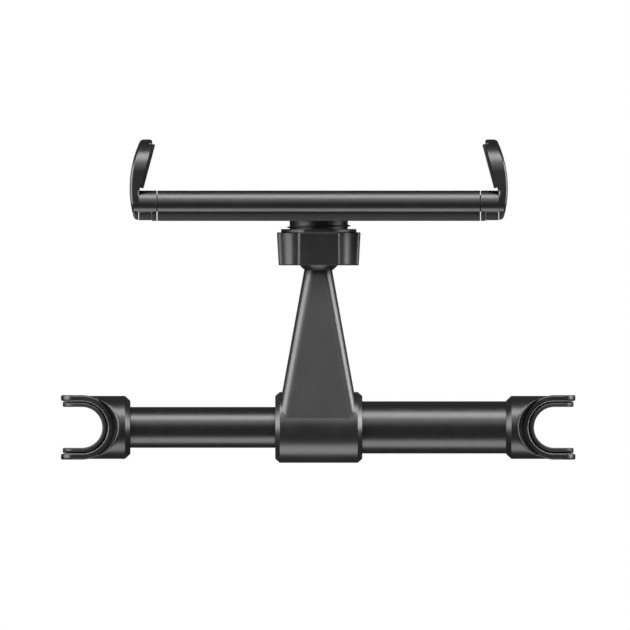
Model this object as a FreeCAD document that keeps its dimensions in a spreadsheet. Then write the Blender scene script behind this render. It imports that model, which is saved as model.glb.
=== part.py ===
import FreeCAD
import Part
import math
import os
import re

import Sketcher
from FreeCAD import Placement, Rotation, Vector

# A phone holder that clamps between the two posts of a car headrest. The frame is +Z up the posts and
# +X along the crossbar, the phone faces -Y, and the origin is on the post axis of the fixed fork.
# Every piece is a body of its own, drawn from the sizes below. Millimetres and degrees.

SIZES = {
    # crossbar
    "post_span": 165.4,  # between the two post axes, bar fully out
    "slide_travel": 45.0,
    "slide_rest": 1.0,  # left between plug and spigot when the bar is fully in
    "outer_tube_rad": 9.15,
    "outer_tube_bore": 7.65,
    "inner_tube_rad": 7.15,
    "inner_tube_bore": 5.75,
    "bush_head_rad": 8.4,
    "bush_head_length": 4.2,
    "bush_recess": 0.5,
    "running_gap": 0.05,
    "plug_head_length": 4.0,
    "plug_spigot_length": 12.0,
    "plug_bore": 5.2,
    # hub and arm, one casting
    "hub_place": 82.5,  # from the fixed fork's post axis
    "hub_half": 15.25,
    "hub_rad": 12.4,
    "hub_chamfer_length": 1.6,
    "hub_chamfer_depth": 1.4,
    "arm_reach": 55.1,  # from the bar's axis to the arm's tip
    "arm_root": 2.0,
    "arm_tip_width": 4.9,  # half widths and half heights
    "arm_root_width": 14.46,
    "arm_tip_height": 4.5,
    "arm_root_height": 12.15,
    "arm_edge_rad": 3.7,
    "grub_offset": 8.0,
    "grub_rad": 2.0,
    "grub_sink": 0.5,
    "grub_dog_rad": 1.2,
    "grub_dog_length": 1.2,
    "grub_key": 1.15,
    "grub_key_depth": 1.5,
    # forks and their liners
    "fork_tip": 7.35,
    "fork_half_width": 11.3,
    "fork_half_height": 4.5,
    "fork_edge": 0.8,  # how far the scoops reach below the U's faces
    "liner_seat_rad": 9.25,
    "liner_step": 0.4,
    "liner_rad": 7.15,
    "liner_tip": 6.7,
    "liner_half_height": 4.3,
    "liner_rib_half": 3.2,
    "collar_rad": 11.05,
    "collar_length": 17.0,
    "collar_face_rad": 9.3,
    "collar_chamfer_length": 1.9,
    "tube_seat": 13.0,
    "spigot_end": 23.0,
    "scoop_top_rad": 10.9,
    "scoop_top_shift": 1.7,
    # ball joint and clamp nut
    "ball_rad": 8.5,
    "ball_reach": 62.0,
    "stud_rad": 2.5,
    "stud_length": 14.0,
    "cup_wall": 0.6,
    "cup_angle": 50.0,
    "backing_wall": 0.65,
    "backing_angle": 46.0,
    "pocket_angle": 66.0,
    "neck_rad": 10.2,
    "finger_wrap": 1.5,  # past the ball's widest place
    "finger_tip_rad": 9.6,
    "finger_taper": 1.7,
    "finger_slot": 1.9,
    "finger_slot_depth": 8.8,
    "flange_rad": 13.5,
    "flange_wall": 1.6,
    "nut_front": 6.3,  # from the ball's centre to the lobes' end at the cradle
    "nut_back": 5.3,
    "nut_front_rad": 14.65,
    "nut_back_rad": 14.05,
    "nut_ring_rad": 13.2,
    "nut_ring_length": 1.15,
    "nut_lip": 3.8,
    "nut_lip_gap": 0.15,
    "nut_mouth_rad": 8.6,
    "lobe_count": 4.0,
    "flute_rad": 6.7,
    "flute_distance": 20.1,
    # cradle
    "cradle_back": 72.25,  # from the bar's axis
    "cover_wall": 3.15,
    "shell_depth": 7.5,
    "shell_side_rad": 3.7,
    "cradle_half": 56.5,
    "cradle_half_height": 20.0,
    "front_wall": 1.4,
    "cavity_edge": 3.3,  # left beside the inside, measured from where the side starts to round
    "slide_gap": 0.1,
    "cover_edge": 0.4,
    "screw_inset": 12.5,  # from the shell's end
    "screw_edge": 1.7,
    "screw_rad": 0.8,
    "screw_head_rad": 1.4,
    "screw_head_depth": 0.8,
    "screw_bite": 3.5,
    "face_pad_near": 12.0,
    "face_pad_inset": 6.5,  # from the shell's end
    "face_pad_edge": 3.3,
    "face_pad_depth": 0.6,
    "face_pad_corner": 3.0,
    "post_near": 0.4,
    "post_far": 3.4,
    "post_half": 1.5,
    # jaws
    "jaw_gap": 0.3,
    "hook_rise": 17.9,  # from the shell's front face to the hook's tip
    "hook_heel": 6.25,  # across from the shell's end, as are the belly and the lip
    "hook_belly": 9.7,
    "hook_arc_rad": 38.9,
    "hook_arc_up": 0.9,
    "hook_lean": 15.0,
    "hook_tip_rad": 1.6,
    "hook_tip_inner_rad": 0.9,
    "hook_corner_rad": 11.0,
    "lip_near": 6.6,
    "lip_sink": 0.35,
    "foot_wall": 1.65,
    "cover_block_gap": 0.15,
    "cover_block_sink": 0.2,
    "jaw_pad_low": 1.0,
    "jaw_pad_high": 16.4,
    "jaw_pad_sink": 0.9,
    "jaw_pad_proud": 1.2,
    "jaw_pad_edge": 5.0,  # left above and below the pad
    "tongue_length": 22.5,  # from the shell's end to the shoulder
    "tongue_meet": 4.0,  # between one jaw's tongue and the other's shoulder
    # rack, pinion and the jaws' springs
    "pinion_teeth": 10.0,
    "tooth_slack": 0.25,
    "rack_spare": 3.2,  # past the rack's last tooth
    "pin_rad": 1.5,
    "pin_bite_front": 0.8,
    "pin_bite_back": 0.8,
    "jaw_spring_wire": 0.4,
    "jaw_spring_hook": 1.6,
    "jaw_spring_slack": 2.0,
    # bar spring
    "spring_rad": 4.2,
    "spring_wire": 0.6,
    "spring_turns": 10.0,
}

doc = FreeCAD.newDocument("HeadrestPhoneHolder")
sheet = doc.addObject("Spreadsheet::Sheet", "Sizes")
for row, (alias, size) in enumerate(SIZES.items(), start=1):
    sheet.set(f"A{row}", alias)
    sheet.set(f"B{row}", str(size))
    sheet.setAlias(f"B{row}", alias)
doc.recompute()

# Names that several pieces share, each an expression over the sheet.
MID = "hub_place"
TUBE_STOP = "hub_half - bush_head_length - bush_recess"
SHELL_BACK = "(cradle_back + cover_wall)"
SHELL_FRONT = "(cradle_back + cover_wall + shell_depth)"
HOOK_TIP = "(cradle_back + cover_wall + shell_depth + hook_rise)"
FLAT_HALF = "(cradle_half_height - shell_side_rad)"
INNER_END = "(spigot_end + slide_travel + plug_head_length + slide_rest)"
CUP_RAD = "(ball_rad + running_gap)"
CUP_OUTER = "(ball_rad + running_gap + cup_wall)"
BACKING_RAD = "(ball_rad + 2 * running_gap + cup_wall)"
BACKING_OUTER = "(ball_rad + 2 * running_gap + cup_wall + backing_wall)"
POCKET_RAD = "(ball_rad + 3 * running_gap + cup_wall + backing_wall)"

# Places along the cradle are measured from its ends, so the jaws and screws follow its length.
SLEEVE = "(cradle_half + jaw_gap)"
HEEL = "(cradle_half + hook_heel)"
LIP = "(cradle_half + lip_near)"
FOOT = "(cradle_half + jaw_gap + foot_wall)"
ARC_ACROSS = "(cradle_half + hook_belly - hook_arc_rad)"
SCREW_ACROSS = "(cradle_half - screw_inset)"
SCREW_UP = f"({FLAT_HALF} - screw_edge)"
FACE_PAD_FAR = "(cradle_half - face_pad_inset)"
FACE_PAD_HALF = f"({FLAT_HALF} - face_pad_edge)"
JAW_PAD_HALF = "(cradle_half_height - jaw_pad_edge)"
SHOULDER = "(cradle_half - tongue_length)"
TONGUE_END = f"({SHOULDER} - tongue_meet)"
SPRING_SHOULDER = f"({SHOULDER} - jaw_spring_slack)"

# The gear, its racks and the springs share the cradle's inside, so they grow with its height.
CAVITY_HALF = f"({FLAT_HALF} - cavity_edge)"
MODULE = f"({CAVITY_HALF} / 13)"
TOOTH_RISE = f"(0.8 * {MODULE})"
TOOTH_SINK = f"(1.2 * {MODULE})"
PITCH = f"({MODULE} * {math.pi:.6f})"
PITCH_RAD = f"({MODULE} * pinion_teeth / 2)"
RACK_TEETH = f"floor(({TONGUE_END} - rack_spare) / {PITCH} + 1.5)"
ARM_TOP = f"(8.6 * {MODULE})"
SPRING_UP = f"(10.9 * {MODULE})"
SPRING_RAD = f"(1.7 * {MODULE})"
SPRING_LEVEL = f"-({SHELL_BACK} + shell_depth / 2 - front_wall / 2)"

# The hook's tip: its two rounded corners run into the inner face and into the outer arc.
TIP_BEND = "(hook_tip_inner_rad / tan((90 - hook_lean) / 2))"
TIP_UP = "(hook_rise - hook_arc_up - hook_tip_rad)"
TIP_ARC = "(hook_arc_rad - hook_tip_rad)"
TIP_RUN = f"sqrt({TIP_ARC} ^ 2 - {TIP_UP} ^ 2)"


def value(text):
    """The number that an expression over the sheet has."""
    return float(sheet.evalExpression(text))


def bind(thing, path, text):
    """Ties a property to an expression, in which each size is named by its alias."""
    thing.setExpression(path, re.sub(r"\b([a-z]+_\w+)\b", r"Sizes.\1", text))


def new_body(label, across="0", along="0", turn=None):
    """An empty body; across and along place it on X and Y, turn is its rotation."""
    body = doc.addObject("PartDesign::Body", label)
    body.Label = label
    if turn:
        body.Placement = Placement(Vector(), turn)
    bind(body, "Placement.Base.x", across)
    bind(body, "Placement.Base.y", along)
    return body


def base(body, role):
    return next(f for f in body.Origin.OriginFeatures if f.Role == role)


def draw_circle(sketch, across, up, radius):
    centre = Vector(value(across), value(up), 0)
    index = sketch.addGeometry(Part.Circle(centre, Vector(0, 0, 1), value(radius)), False)
    hold(sketch, index, 3, across, up)
    bind_constraint(sketch, Sketcher.Constraint("Radius", index, value(radius)), radius)


def bind_constraint(sketch, constraint, text):
    number = sketch.addConstraint(constraint)
    bind(sketch, f"Constraints[{number}]", text)


def hold(sketch, index, end, across, up):
    """Holds a point of the sketch at its two coordinates, on an axis where one is 0."""
    for text, kind, axis in ((across, "DistanceX", -2), (up, "DistanceY", -1)):
        if text == "0":
            sketch.addConstraint(Sketcher.Constraint("PointOnObject", index, end, axis))
        else:
            held = Sketcher.Constraint(kind, -1, 1, index, end, value(text))
            bind_constraint(sketch, held, text)


def arc_between(start, end, radius, side):
    """The shorter arc from start to end, bending left for side 1 and right for side -1."""
    chord = end - start
    half = chord.Length / 2
    left = Vector(-chord.y, chord.x, 0).normalize()
    rise = math.sqrt(max(radius * radius - half * half, 0.0))
    centre = (start + end) / 2 + left * (side * rise)
    first, last = (start, end) if side > 0 else (end, start)
    angles = [math.atan2(p.y - centre.y, p.x - centre.x) for p in (first, last)]
    circle = Part.Circle(centre, Vector(0, 0, 1), radius)
    return Part.ArcOfCircle(circle, angles[0], angles[1])


def draw_outline(sketch, corners):
    """One closed outline. A corner is (across, up), or (across, up, radius, side) before an arc."""
    points = [Vector(value(c[0]), value(c[1]), 0) for c in corners]
    ends = []
    for corner, start, end in zip(corners, points, points[1:] + points[:1]):
        if len(corner) == 2:
            index = sketch.addGeometry(Part.LineSegment(start, end), False)
            ends.append((index, 1, 2))
            continue
        radius, side = corner[2], corner[3]
        index = sketch.addGeometry(arc_between(start, end, value(radius), side), False)
        ends.append((index, 1, 2) if side > 0 else (index, 2, 1))
    for here, after in zip(ends, ends[1:] + ends[:1]):
        joint = Sketcher.Constraint("Coincident", here[0], here[2], after[0], after[1])
        sketch.addConstraint(joint)
    for corner, (index, start, _) in zip(corners, ends):
        hold(sketch, index, start, corner[0], corner[1])
        if len(corner) == 4:
            bound = Sketcher.Constraint("Radius", index, value(corner[2]))
            bind_constraint(sketch, bound, corner[2])


def sketch_on(body, role, outlines, lift="0"):
    """A sketch on an origin plane of the body, lifted along the plane's normal."""
    sketch = body.newObject("Sketcher::SketchObject", body.Label + "_sketch")
    sketch.AttachmentSupport = [(base(body, role), "")]
    sketch.MapMode = "FlatFace"
    bind(sketch, "AttachmentOffset.Base.z", lift)
    for outline in outlines:
        if isinstance(outline, tuple):
            draw_circle(sketch, *outline)
        else:
            draw_outline(sketch, outline)
    doc.recompute()
    return sketch


def settle(body, feature):
    """Recomputes, and stops where the feature failed or left the solid as it was."""
    before = feature.BaseFeature.Shape.Volume if feature.BaseFeature else 0.0
    doc.recompute()
    if not feature.isValid() or abs(feature.Shape.Volume - before) < 1e-4:
        raise RuntimeError(f"{body.Label}: {feature.Name} did nothing, {feature.State}")
    body.Tip = feature
    return feature


def extrude(body, kind, sketch, length, both=True, flip=False):
    feature = body.newObject("PartDesign::" + kind, f"{kind}_of_{body.Label}")
    feature.Profile = sketch
    bind(feature, "Length", length)
    feature.SideType = "Symmetric" if both else "One side"
    feature.Reversed = flip
    return settle(body, feature)


def turned(body, kind, outlines, axis, role="XY_Plane"):
    """A Revolution or Groove of the outlines about the sketch's H_Axis or V_Axis."""
    sketch = sketch_on(body, role, outlines)
    feature = body.newObject("PartDesign::" + kind, f"{kind}_of_{body.Label}")
    feature.Profile = sketch
    feature.ReferenceAxis = (sketch, [axis])
    return settle(body, feature)


def polar(body, feature, axis, count):
    pattern = body.newObject("PartDesign::PolarPattern", body.Label + "_round")
    pattern.Originals = [feature]
    pattern.Axis = (base(body, axis), [""])
    bind(pattern, "Occurrences", count)
    return settle(body, pattern)


def fillet_long_edges(body, length, radius):
    """Rounds every edge of the body that is longer than a length."""
    tip = body.Tip
    least = value(length)
    edges = enumerate(tip.Shape.Edges, start=1)
    names = [f"Edge{number}" for number, edge in edges if edge.Length > least]
    feature = body.newObject("PartDesign::Fillet", f"Fillet_of_{body.Label}")
    feature.Base = (tip, names)
    bind(feature, "Radius", radius)
    return settle(body, feature)


def box_outline(left, low, right, high):
    return [(left, low), (right, low), (right, high), (left, high)]


def round_box(across, up, radius):
    """A rectangle about the origin with rounded corners, given by its half sizes."""
    return [
        (f"-({across} - {radius})", f"-({up})"),
        (f"{across} - {radius}", f"-({up})", radius, 1),
        (across, f"-({up} - {radius})"),
        (across, f"{up} - {radius}", radius, 1),
        (f"{across} - {radius}", up),
        (f"-({across} - {radius})", up, radius, 1),
        (f"-({across})", f"{up} - {radius}"),
        (f"-({across})", f"-({up} - {radius})", radius, 1),
    ]


# Crossbar


def hub_arm():
    """The tapered arm with rounded long edges, and the barrel that it stands on."""
    body = new_body("hub_arm", MID)
    plan = [
        ("-arm_root_width", "-arm_root"),
        ("arm_root_width", "-arm_root"),
        ("arm_tip_width", "-arm_reach"),
        ("-arm_tip_width", "-arm_reach"),
    ]
    extrude(body, "Pad", sketch_on(body, "XY_Plane", [plan]), "2 * arm_root_height")
    wedges = []
    for sign in ("", "-"):
        wedges.append([
            ("-arm_root", f"{sign}arm_root_height"),
            ("-arm_reach", f"{sign}arm_tip_height"),
            ("-(arm_reach + 1)", f"{sign}arm_tip_height"),
            ("-(arm_reach + 1)", f"{sign}(arm_root_height + 1)"),
            ("-arm_root", f"{sign}(arm_root_height + 1)"),
        ])
    extrude(body, "Pocket", sketch_on(body, "YZ_Plane", wedges), "2 * arm_root_width + 2")
    fillet_long_edges(body, "arm_reach - arm_root", "arm_edge_rad")
    rim = "hub_rad - hub_chamfer_depth"
    flat = "hub_half - hub_chamfer_length"
    barrel = [
        ("-hub_half", "0"),
        ("-hub_half", rim),
        (f"-({flat})", "hub_rad"),
        (flat, "hub_rad"),
        ("hub_half", rim),
        ("hub_half", "0"),
    ]
    turned(body, "Revolution", [barrel], "H_Axis")
    bore = [
        ("-hub_half", "0"),
        ("-hub_half", "outer_tube_rad"),
        (TUBE_STOP, "outer_tube_rad"),
        (TUBE_STOP, "bush_head_rad"),
        ("hub_half", "bush_head_rad"),
        ("hub_half", "0"),
    ]
    turned(body, "Groove", [bore], "H_Axis")
    neck = "-(ball_reach - sqrt(ball_rad ^ 2 - stud_rad ^ 2))"
    seat = [
        ("0", "-(ball_reach + ball_rad)", "ball_rad", 1),
        ("ball_rad", "-ball_reach", "ball_rad", 1),
        ("stud_rad", neck),
        ("stud_rad", "-(ball_reach - ball_rad - stud_length)"),
        ("0", "-(ball_reach - ball_rad - stud_length)"),
    ]
    turned(body, "Groove", [seat], "V_Axis")
    hole = sketch_on(body, "XY_Plane", [("-grub_offset", "0", "grub_rad")])
    extrude(body, "Pocket", hole, "hub_rad + 1", both=False)
    return body


def tube(label, start, end, radius, bore):
    body = new_body(label)
    turned(body, "Revolution", [box_outline(start, bore, end, radius)], "H_Axis")
    return body


def outer_tube():
    body = tube("outer_tube", "tube_seat", f"{MID} + {TUBE_STOP}", "outer_tube_rad", "outer_tube_bore")
    dog = "grub_dog_rad + running_gap"
    hole = sketch_on(body, "XY_Plane", [(f"{MID} - grub_offset", "0", dog)])
    extrude(body, "Pocket", hole, "hub_rad", both=False)
    return body


def guide_bush():
    body = new_body("guide_bush", MID)
    inner = "inner_tube_rad + running_gap"
    stop = f"{INNER_END} + slide_gap - {MID}"
    outline = [
        (stop, inner),
        ("hub_half - bush_recess", inner),
        ("hub_half - bush_recess", "bush_head_rad"),
        (TUBE_STOP, "bush_head_rad"),
        (TUBE_STOP, "outer_tube_bore"),
        (stop, "outer_tube_bore"),
    ]
    turned(body, "Revolution", [outline], "H_Axis")
    return body


def inner_plug():
    body = new_body("inner_plug")
    outline = [
        (f"{INNER_END} - plug_head_length", "plug_bore"),
        (f"{INNER_END} + plug_spigot_length", "plug_bore"),
        (f"{INNER_END} + plug_spigot_length", "inner_tube_bore"),
        (INNER_END, "inner_tube_bore"),
        (INNER_END, "outer_tube_bore - running_gap"),
        (f"{INNER_END} - plug_head_length", "outer_tube_bore - running_gap"),
    ]
    turned(body, "Revolution", [outline], "H_Axis")
    return body


def bar_spring():
    """The coil runs from one fork's spigot to the other's, through the plug."""
    along_bar = Rotation(Vector(0, 1, 0), 90)
    body = new_body("bar_spring", "spigot_end + spring_wire + running_gap", turn=along_bar)
    corners = []
    for side in range(6):
        angle = 60 * side + 30
        corners.append((f"spring_rad + spring_wire * cos({angle})", f"spring_wire * sin({angle})"))
    wire = sketch_on(body, "XZ_Plane", [corners])
    coil = body.newObject("PartDesign::AdditiveHelix", "bar_spring_coil")
    coil.Profile = wire
    coil.ReferenceAxis = (wire, ["V_Axis"])
    coil.Mode = "height-turns-angle"
    bind(coil, "Height", "post_span - 2 * spigot_end - 2 * spring_wire - 2 * running_gap")
    bind(coil, "Turns", "spring_turns")
    settle(body, coil)
    return body


def hub_screw():
    body = new_body("hub_screw", f"{MID} - grub_offset")
    head = "-(hub_rad - grub_sink)"
    outline = [
        ("0", head),
        ("grub_rad", head),
        ("grub_rad", "-(outer_tube_rad + running_gap)"),
        ("grub_dog_rad", "-(outer_tube_rad + running_gap)"),
        ("grub_dog_rad", "-(outer_tube_rad - grub_dog_length)"),
        ("0", "-(outer_tube_rad - grub_dog_length)"),
    ]
    turned(body, "Revolution", [outline], "V_Axis", "XZ_Plane")
    corners = [(f"grub_key * cos({60 * k})", f"grub_key * sin({60 * k})") for k in range(6)]
    corners = [(a, "0" if k % 3 == 0 else b) for k, (a, b) in enumerate(corners)]
    key = sketch_on(body, "XY_Plane", [corners], head)
    extrude(body, "Pocket", key, "grub_key_depth", both=False, flip=True)
    return body


# Forks: the U opens away from the bar, the collar and spigot carry the tube


def tip_relief(tip, half):
    """What a full round takes off a flat end at -tip, above and below the middle."""
    radius = f"({half} - 0.2)"
    far = f"-({tip} + 1)"
    loops = []
    for sign, side in (("", -1), ("-", 1)):
        loops.append([
            (f"-({tip})", f"{sign}0.2", radius, side),
            (f"-({tip} - {radius})", f"{sign}({half})"),
            (f"-({tip} - {radius})", f"{sign}({half} + 1)"),
            (far, f"{sign}({half} + 1)"),
            (far, f"{sign}0.2"),
        ])
    return loops


def u_outline(tip, radius):
    """A slot with a half-round floor at the post axis, open towards -X."""
    return [
        (f"-({tip})", radius),
        ("0", radius, radius, -1),
        (radius, "0", radius, -1),
        ("0", f"-({radius})"),
        (f"-({tip})", f"-({radius})"),
    ]


def u_band(tip, inner, outer):
    """A U-shaped band between two radii."""
    return [
        (f"-({tip})", outer),
        ("0", outer, outer, -1),
        (outer, "0", outer, -1),
        ("0", f"-({outer})"),
        (f"-({tip})", f"-({outer})"),
        (f"-({tip})", f"-({inner})"),
        ("0", f"-({inner})", inner, 1),
        (inner, "0", inner, 1),
        ("0", inner),
        (f"-({tip})", inner),
    ]


def fork(label, across, turn, tube_rad, spigot_rad):
    """A collar with its spigot, scooped away on both faces of a flat U that is open at its end."""
    body = new_body(label, across, turn=turn)
    collar = [
        ("scoop_top_shift", "0"),
        ("scoop_top_shift", "collar_rad"),
        ("collar_length - collar_chamfer_length", "collar_rad"),
        ("collar_length", "collar_face_rad"),
        ("collar_length", tube_rad),
        ("tube_seat", tube_rad),
        ("tube_seat", spigot_rad),
        ("spigot_end", spigot_rad),
        ("spigot_end", "0"),
    ]
    turned(body, "Revolution", [collar], "H_Axis")
    floor = [("0", "0", "fork_half_width")]
    rim = [("scoop_top_shift", "0", "scoop_top_rad")]
    for sign in ("", "-"):
        scoop = body.newObject("PartDesign::SubtractiveLoft", label + "_scoop")
        scoop.Profile = sketch_on(body, "XY_Plane", floor, f"{sign}(fork_half_height - fork_edge)")
        scoop.Sections = [sketch_on(body, "XY_Plane", rim, f"{sign}(collar_rad + 0.5)")]
        settle(body, scoop)
    plate = sketch_on(body, "XY_Plane", [u_outline("fork_tip", "fork_half_width")])
    extrude(body, "Pad", plate, "2 * fork_half_height")
    slot = sketch_on(body, "XY_Plane", [u_outline("fork_tip + 1", "liner_seat_rad")])
    extrude(body, "Pocket", slot, "2 * collar_rad + 2")
    relief = sketch_on(body, "XZ_Plane", tip_relief("fork_tip", "fork_half_height"))
    extrude(body, "Pocket", relief, "2 * fork_half_width + 2")
    return body


def fork_liner(label, across, turn):
    body = new_body(label, across, turn=turn)
    band = u_band("liner_tip", "liner_rad", "(liner_seat_rad - liner_step)")
    extrude(body, "Pad", sketch_on(body, "XY_Plane", [band]), "2 * liner_half_height")
    rib = u_band("liner_tip", "(liner_rad + liner_step)", "liner_seat_rad")
    extrude(body, "Pad", sketch_on(body, "XY_Plane", [rib]), "2 * liner_rib_half")
    relief = sketch_on(body, "XZ_Plane", tip_relief("liner_tip", "liner_half_height"))
    extrude(body, "Pocket", relief, "2 * fork_half_width")
    return body


# Ball joint. Polar places are measured from the ball's centre, from the axis that points at the phone


def polar_place(radius, angle):
    return (f"{radius} * sin({angle})", f"-(ball_reach + {radius} * cos({angle}))")


def ball_stud():
    body = new_body("ball_stud", MID)
    neck = "-(ball_reach - sqrt(ball_rad ^ 2 - stud_rad ^ 2))"
    outline = [
        ("0", "-(ball_reach + ball_rad)", "ball_rad", 1),
        ("ball_rad", "-ball_reach", "ball_rad", 1),
        ("stud_rad", neck),
        ("stud_rad", "-(ball_reach - ball_rad - stud_length)"),
        ("0", "-(ball_reach - ball_rad - stud_length)"),
    ]
    turned(body, "Revolution", [outline], "V_Axis")
    return body


def spherical_cup(label, inner, outer, angle):
    """A shell between two spheres about the ball's centre, out to a polar angle."""
    body = new_body(label, MID)
    far = polar_place(outer, angle)
    near = polar_place(inner, angle)
    outline = [
        ("0", f"-(ball_reach + {outer})", outer, 1),
        far,
        (*near, inner, -1),
        ("0", f"-(ball_reach + {inner})"),
    ]
    turned(body, "Revolution", [outline], "V_Axis")
    return body


def ball_socket():
    body = new_body("ball_socket", MID)
    tip = "-(ball_reach - finger_wrap)"
    grip = f"sqrt({CUP_RAD} ^ 2 - finger_wrap ^ 2)"
    outline = [
        ("0", f"-{SHELL_BACK}"),
        ("flange_rad", f"-{SHELL_BACK}"),
        ("flange_rad", f"-({SHELL_BACK} - flange_wall)"),
        ("neck_rad", f"-({SHELL_BACK} - flange_wall)"),
        ("neck_rad", "-(ball_reach - finger_wrap + finger_taper)"),
        ("finger_tip_rad", tip),
        (grip, tip, CUP_RAD, -1),
        (CUP_RAD, "-ball_reach", CUP_RAD, -1),
        polar_place(CUP_RAD, "pocket_angle"),
        (*polar_place(POCKET_RAD, "pocket_angle"), POCKET_RAD, -1),
        ("0", f"-(ball_reach + {POCKET_RAD})"),
    ]
    turned(body, "Revolution", [outline], "V_Axis")
    floor = "-(ball_reach + finger_slot_depth)"
    slot = box_outline("-finger_slot / 2", floor, "finger_slot / 2", "-(ball_reach - finger_wrap - 1)")
    extrude(body, "Pocket", sketch_on(body, "XY_Plane", [slot]), "2 * neck_rad + 2")
    slot = box_outline(floor, "-finger_slot / 2", "-(ball_reach - finger_wrap - 1)", "finger_slot / 2")
    extrude(body, "Pocket", sketch_on(body, "YZ_Plane", [slot]), "2 * neck_rad + 2")
    pin = sketch_on(body, "XZ_Plane", [("0", "0", "pin_rad")], SHELL_BACK)
    extrude(body, "Pocket", pin, "pin_bite_back", both=False)
    return body


def clamp_nut():
    body = new_body("clamp_nut", MID)
    gap = "running_gap"
    sphere = "(ball_rad + nut_lip_gap)"
    shoulder = "(finger_wrap + 0.1)"
    outline = [
        (f"neck_rad + {gap}", "-(ball_reach + nut_front + nut_ring_length)"),
        ("nut_ring_rad", "-(ball_reach + nut_front + nut_ring_length)"),
        ("nut_ring_rad", "-(ball_reach + nut_front)"),
        ("nut_front_rad", "-(ball_reach + nut_front)"),
        ("nut_back_rad", "-(ball_reach - nut_back)"),
        ("nut_mouth_rad", "-(ball_reach - nut_back)"),
        (f"sqrt({sphere} ^ 2 - nut_lip ^ 2)", "-(ball_reach - nut_lip)", sphere, -1),
        (f"sqrt({sphere} ^ 2 - {shoulder} ^ 2)", f"-(ball_reach - {shoulder})"),
        (f"finger_tip_rad + {gap}", f"-(ball_reach - {shoulder})"),
        (f"neck_rad + {gap}", f"-(ball_reach - {shoulder} + finger_taper)"),
    ]
    turned(body, "Revolution", [outline], "V_Axis")
    centre = "flute_distance * cos(45)"
    circle = (centre, centre, "flute_rad")
    flute = sketch_on(body, "XZ_Plane", [circle], "ball_reach + nut_front")
    cut = extrude(body, "Pocket", flute, "nut_front + nut_back + 1", both=False)
    polar(body, cut, "Y_Axis", "lobe_count")
    return body


# Cradle


def half_round_sides():
    """Section of the shell in Y and Z, with half-round long sides."""
    front, back, half = f"-{SHELL_FRONT}", f"-{SHELL_BACK}", "cradle_half_height"
    radius = "shell_side_rad"
    return [
        (front, f"-{FLAT_HALF}"),
        (front, FLAT_HALF, radius, -1),
        (f"{front} + {radius}", half),
        (f"{back} - {radius}", half, radius, -1),
        (back, FLAT_HALF),
        (back, f"-{FLAT_HALF}", radius, -1),
        (f"{back} - {radius}", f"-{half}"),
        (f"{front} + {radius}", f"-{half}", radius, -1),
    ]


def screw_places():
    sides = (SCREW_ACROSS, "-" + SCREW_ACROSS)
    return [(across, up) for across in sides for up in (SCREW_UP, "-" + SCREW_UP)]


def front_shell():
    body = new_body("front_shell", MID)
    extrude(body, "Pad", sketch_on(body, "YZ_Plane", [half_round_sides()]), "2 * cradle_half")
    room = box_outline("-(cradle_half + 1)", f"-{CAVITY_HALF}", "cradle_half + 1", CAVITY_HALF)
    cavity = sketch_on(body, "XZ_Plane", [room], SHELL_BACK)
    extrude(body, "Pocket", cavity, "shell_depth - front_wall", both=False, flip=True)
    holes = sketch_on(body, "XZ_Plane", [(a, b, "screw_rad") for a, b in screw_places()], SHELL_BACK)
    extrude(body, "Pocket", holes, "screw_bite", both=False, flip=True)
    for sign in ("", "-"):
        low = f"{sign}({SPRING_UP} - post_half)"
        corners = box_outline(f"{sign}post_near", low, f"{sign}post_far", f"{sign}{CAVITY_HALF}")
        post = sketch_on(body, "XZ_Plane", [corners], f"{SHELL_FRONT} - front_wall")
        extrude(body, "Pad", post, "shell_depth - front_wall", both=False, flip=True)
        eye = (SPRING_LEVEL, f"{sign}{SPRING_UP}", "jaw_spring_wire")
        hole = sketch_on(body, "YZ_Plane", [eye], f"{sign}post_far")
        extrude(body, "Pocket", hole, "jaw_spring_hook", both=False, flip=bool(sign))
    pin = sketch_on(body, "XZ_Plane", [("0", "0", "pin_rad")], f"{SHELL_FRONT} - front_wall")
    extrude(body, "Pocket", pin, "pin_bite_front", both=False, flip=True)
    for sign in ("", "-"):
        pad = sketch_on(body, "XZ_Plane", [face_pad_outline(sign)], f"{SHELL_FRONT} - face_pad_depth")
        extrude(body, "Pocket", pad, "face_pad_depth + 1", both=False, flip=True)
    return body


def face_pad_outline(sign):
    """A rounded rectangle beside the middle, on the side that the sign gives."""
    middle = f"{sign}(face_pad_near + {FACE_PAD_FAR}) / 2"
    across = f"({FACE_PAD_FAR} - face_pad_near) / 2"
    corners = round_box(across, FACE_PAD_HALF, "face_pad_corner")
    return [(f"{middle} + {c[0]}", *c[1:]) for c in corners]


def face_pad(label, sign):
    body = new_body(label, MID)
    pad = sketch_on(body, "XZ_Plane", [face_pad_outline(sign)], f"{SHELL_FRONT} - face_pad_depth")
    extrude(body, "Pad", pad, "face_pad_depth", both=False)
    return body


def back_cover():
    body = new_body("back_cover", MID)
    plate = round_box("cradle_half", FLAT_HALF, "cover_edge")
    extrude(body, "Pad", sketch_on(body, "XZ_Plane", [plate], "cradle_back"), "cover_wall", both=False)
    hole = sketch_on(body, "XZ_Plane", [("0", "0", "neck_rad + running_gap")], "cradle_back")
    extrude(body, "Pocket", hole, "cover_wall", both=False, flip=True)
    seat = sketch_on(body, "XZ_Plane", [("0", "0", "flange_rad + running_gap")], SHELL_BACK)
    extrude(body, "Pocket", seat, "flange_wall", both=False)
    for radius, depth in (("screw_rad", "cover_wall"), ("screw_head_rad", "screw_head_depth")):
        holes = sketch_on(body, "XZ_Plane", [(a, b, radius) for a, b in screw_places()], "cradle_back")
        extrude(body, "Pocket", holes, depth, both=False, flip=True)
    return body


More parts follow.
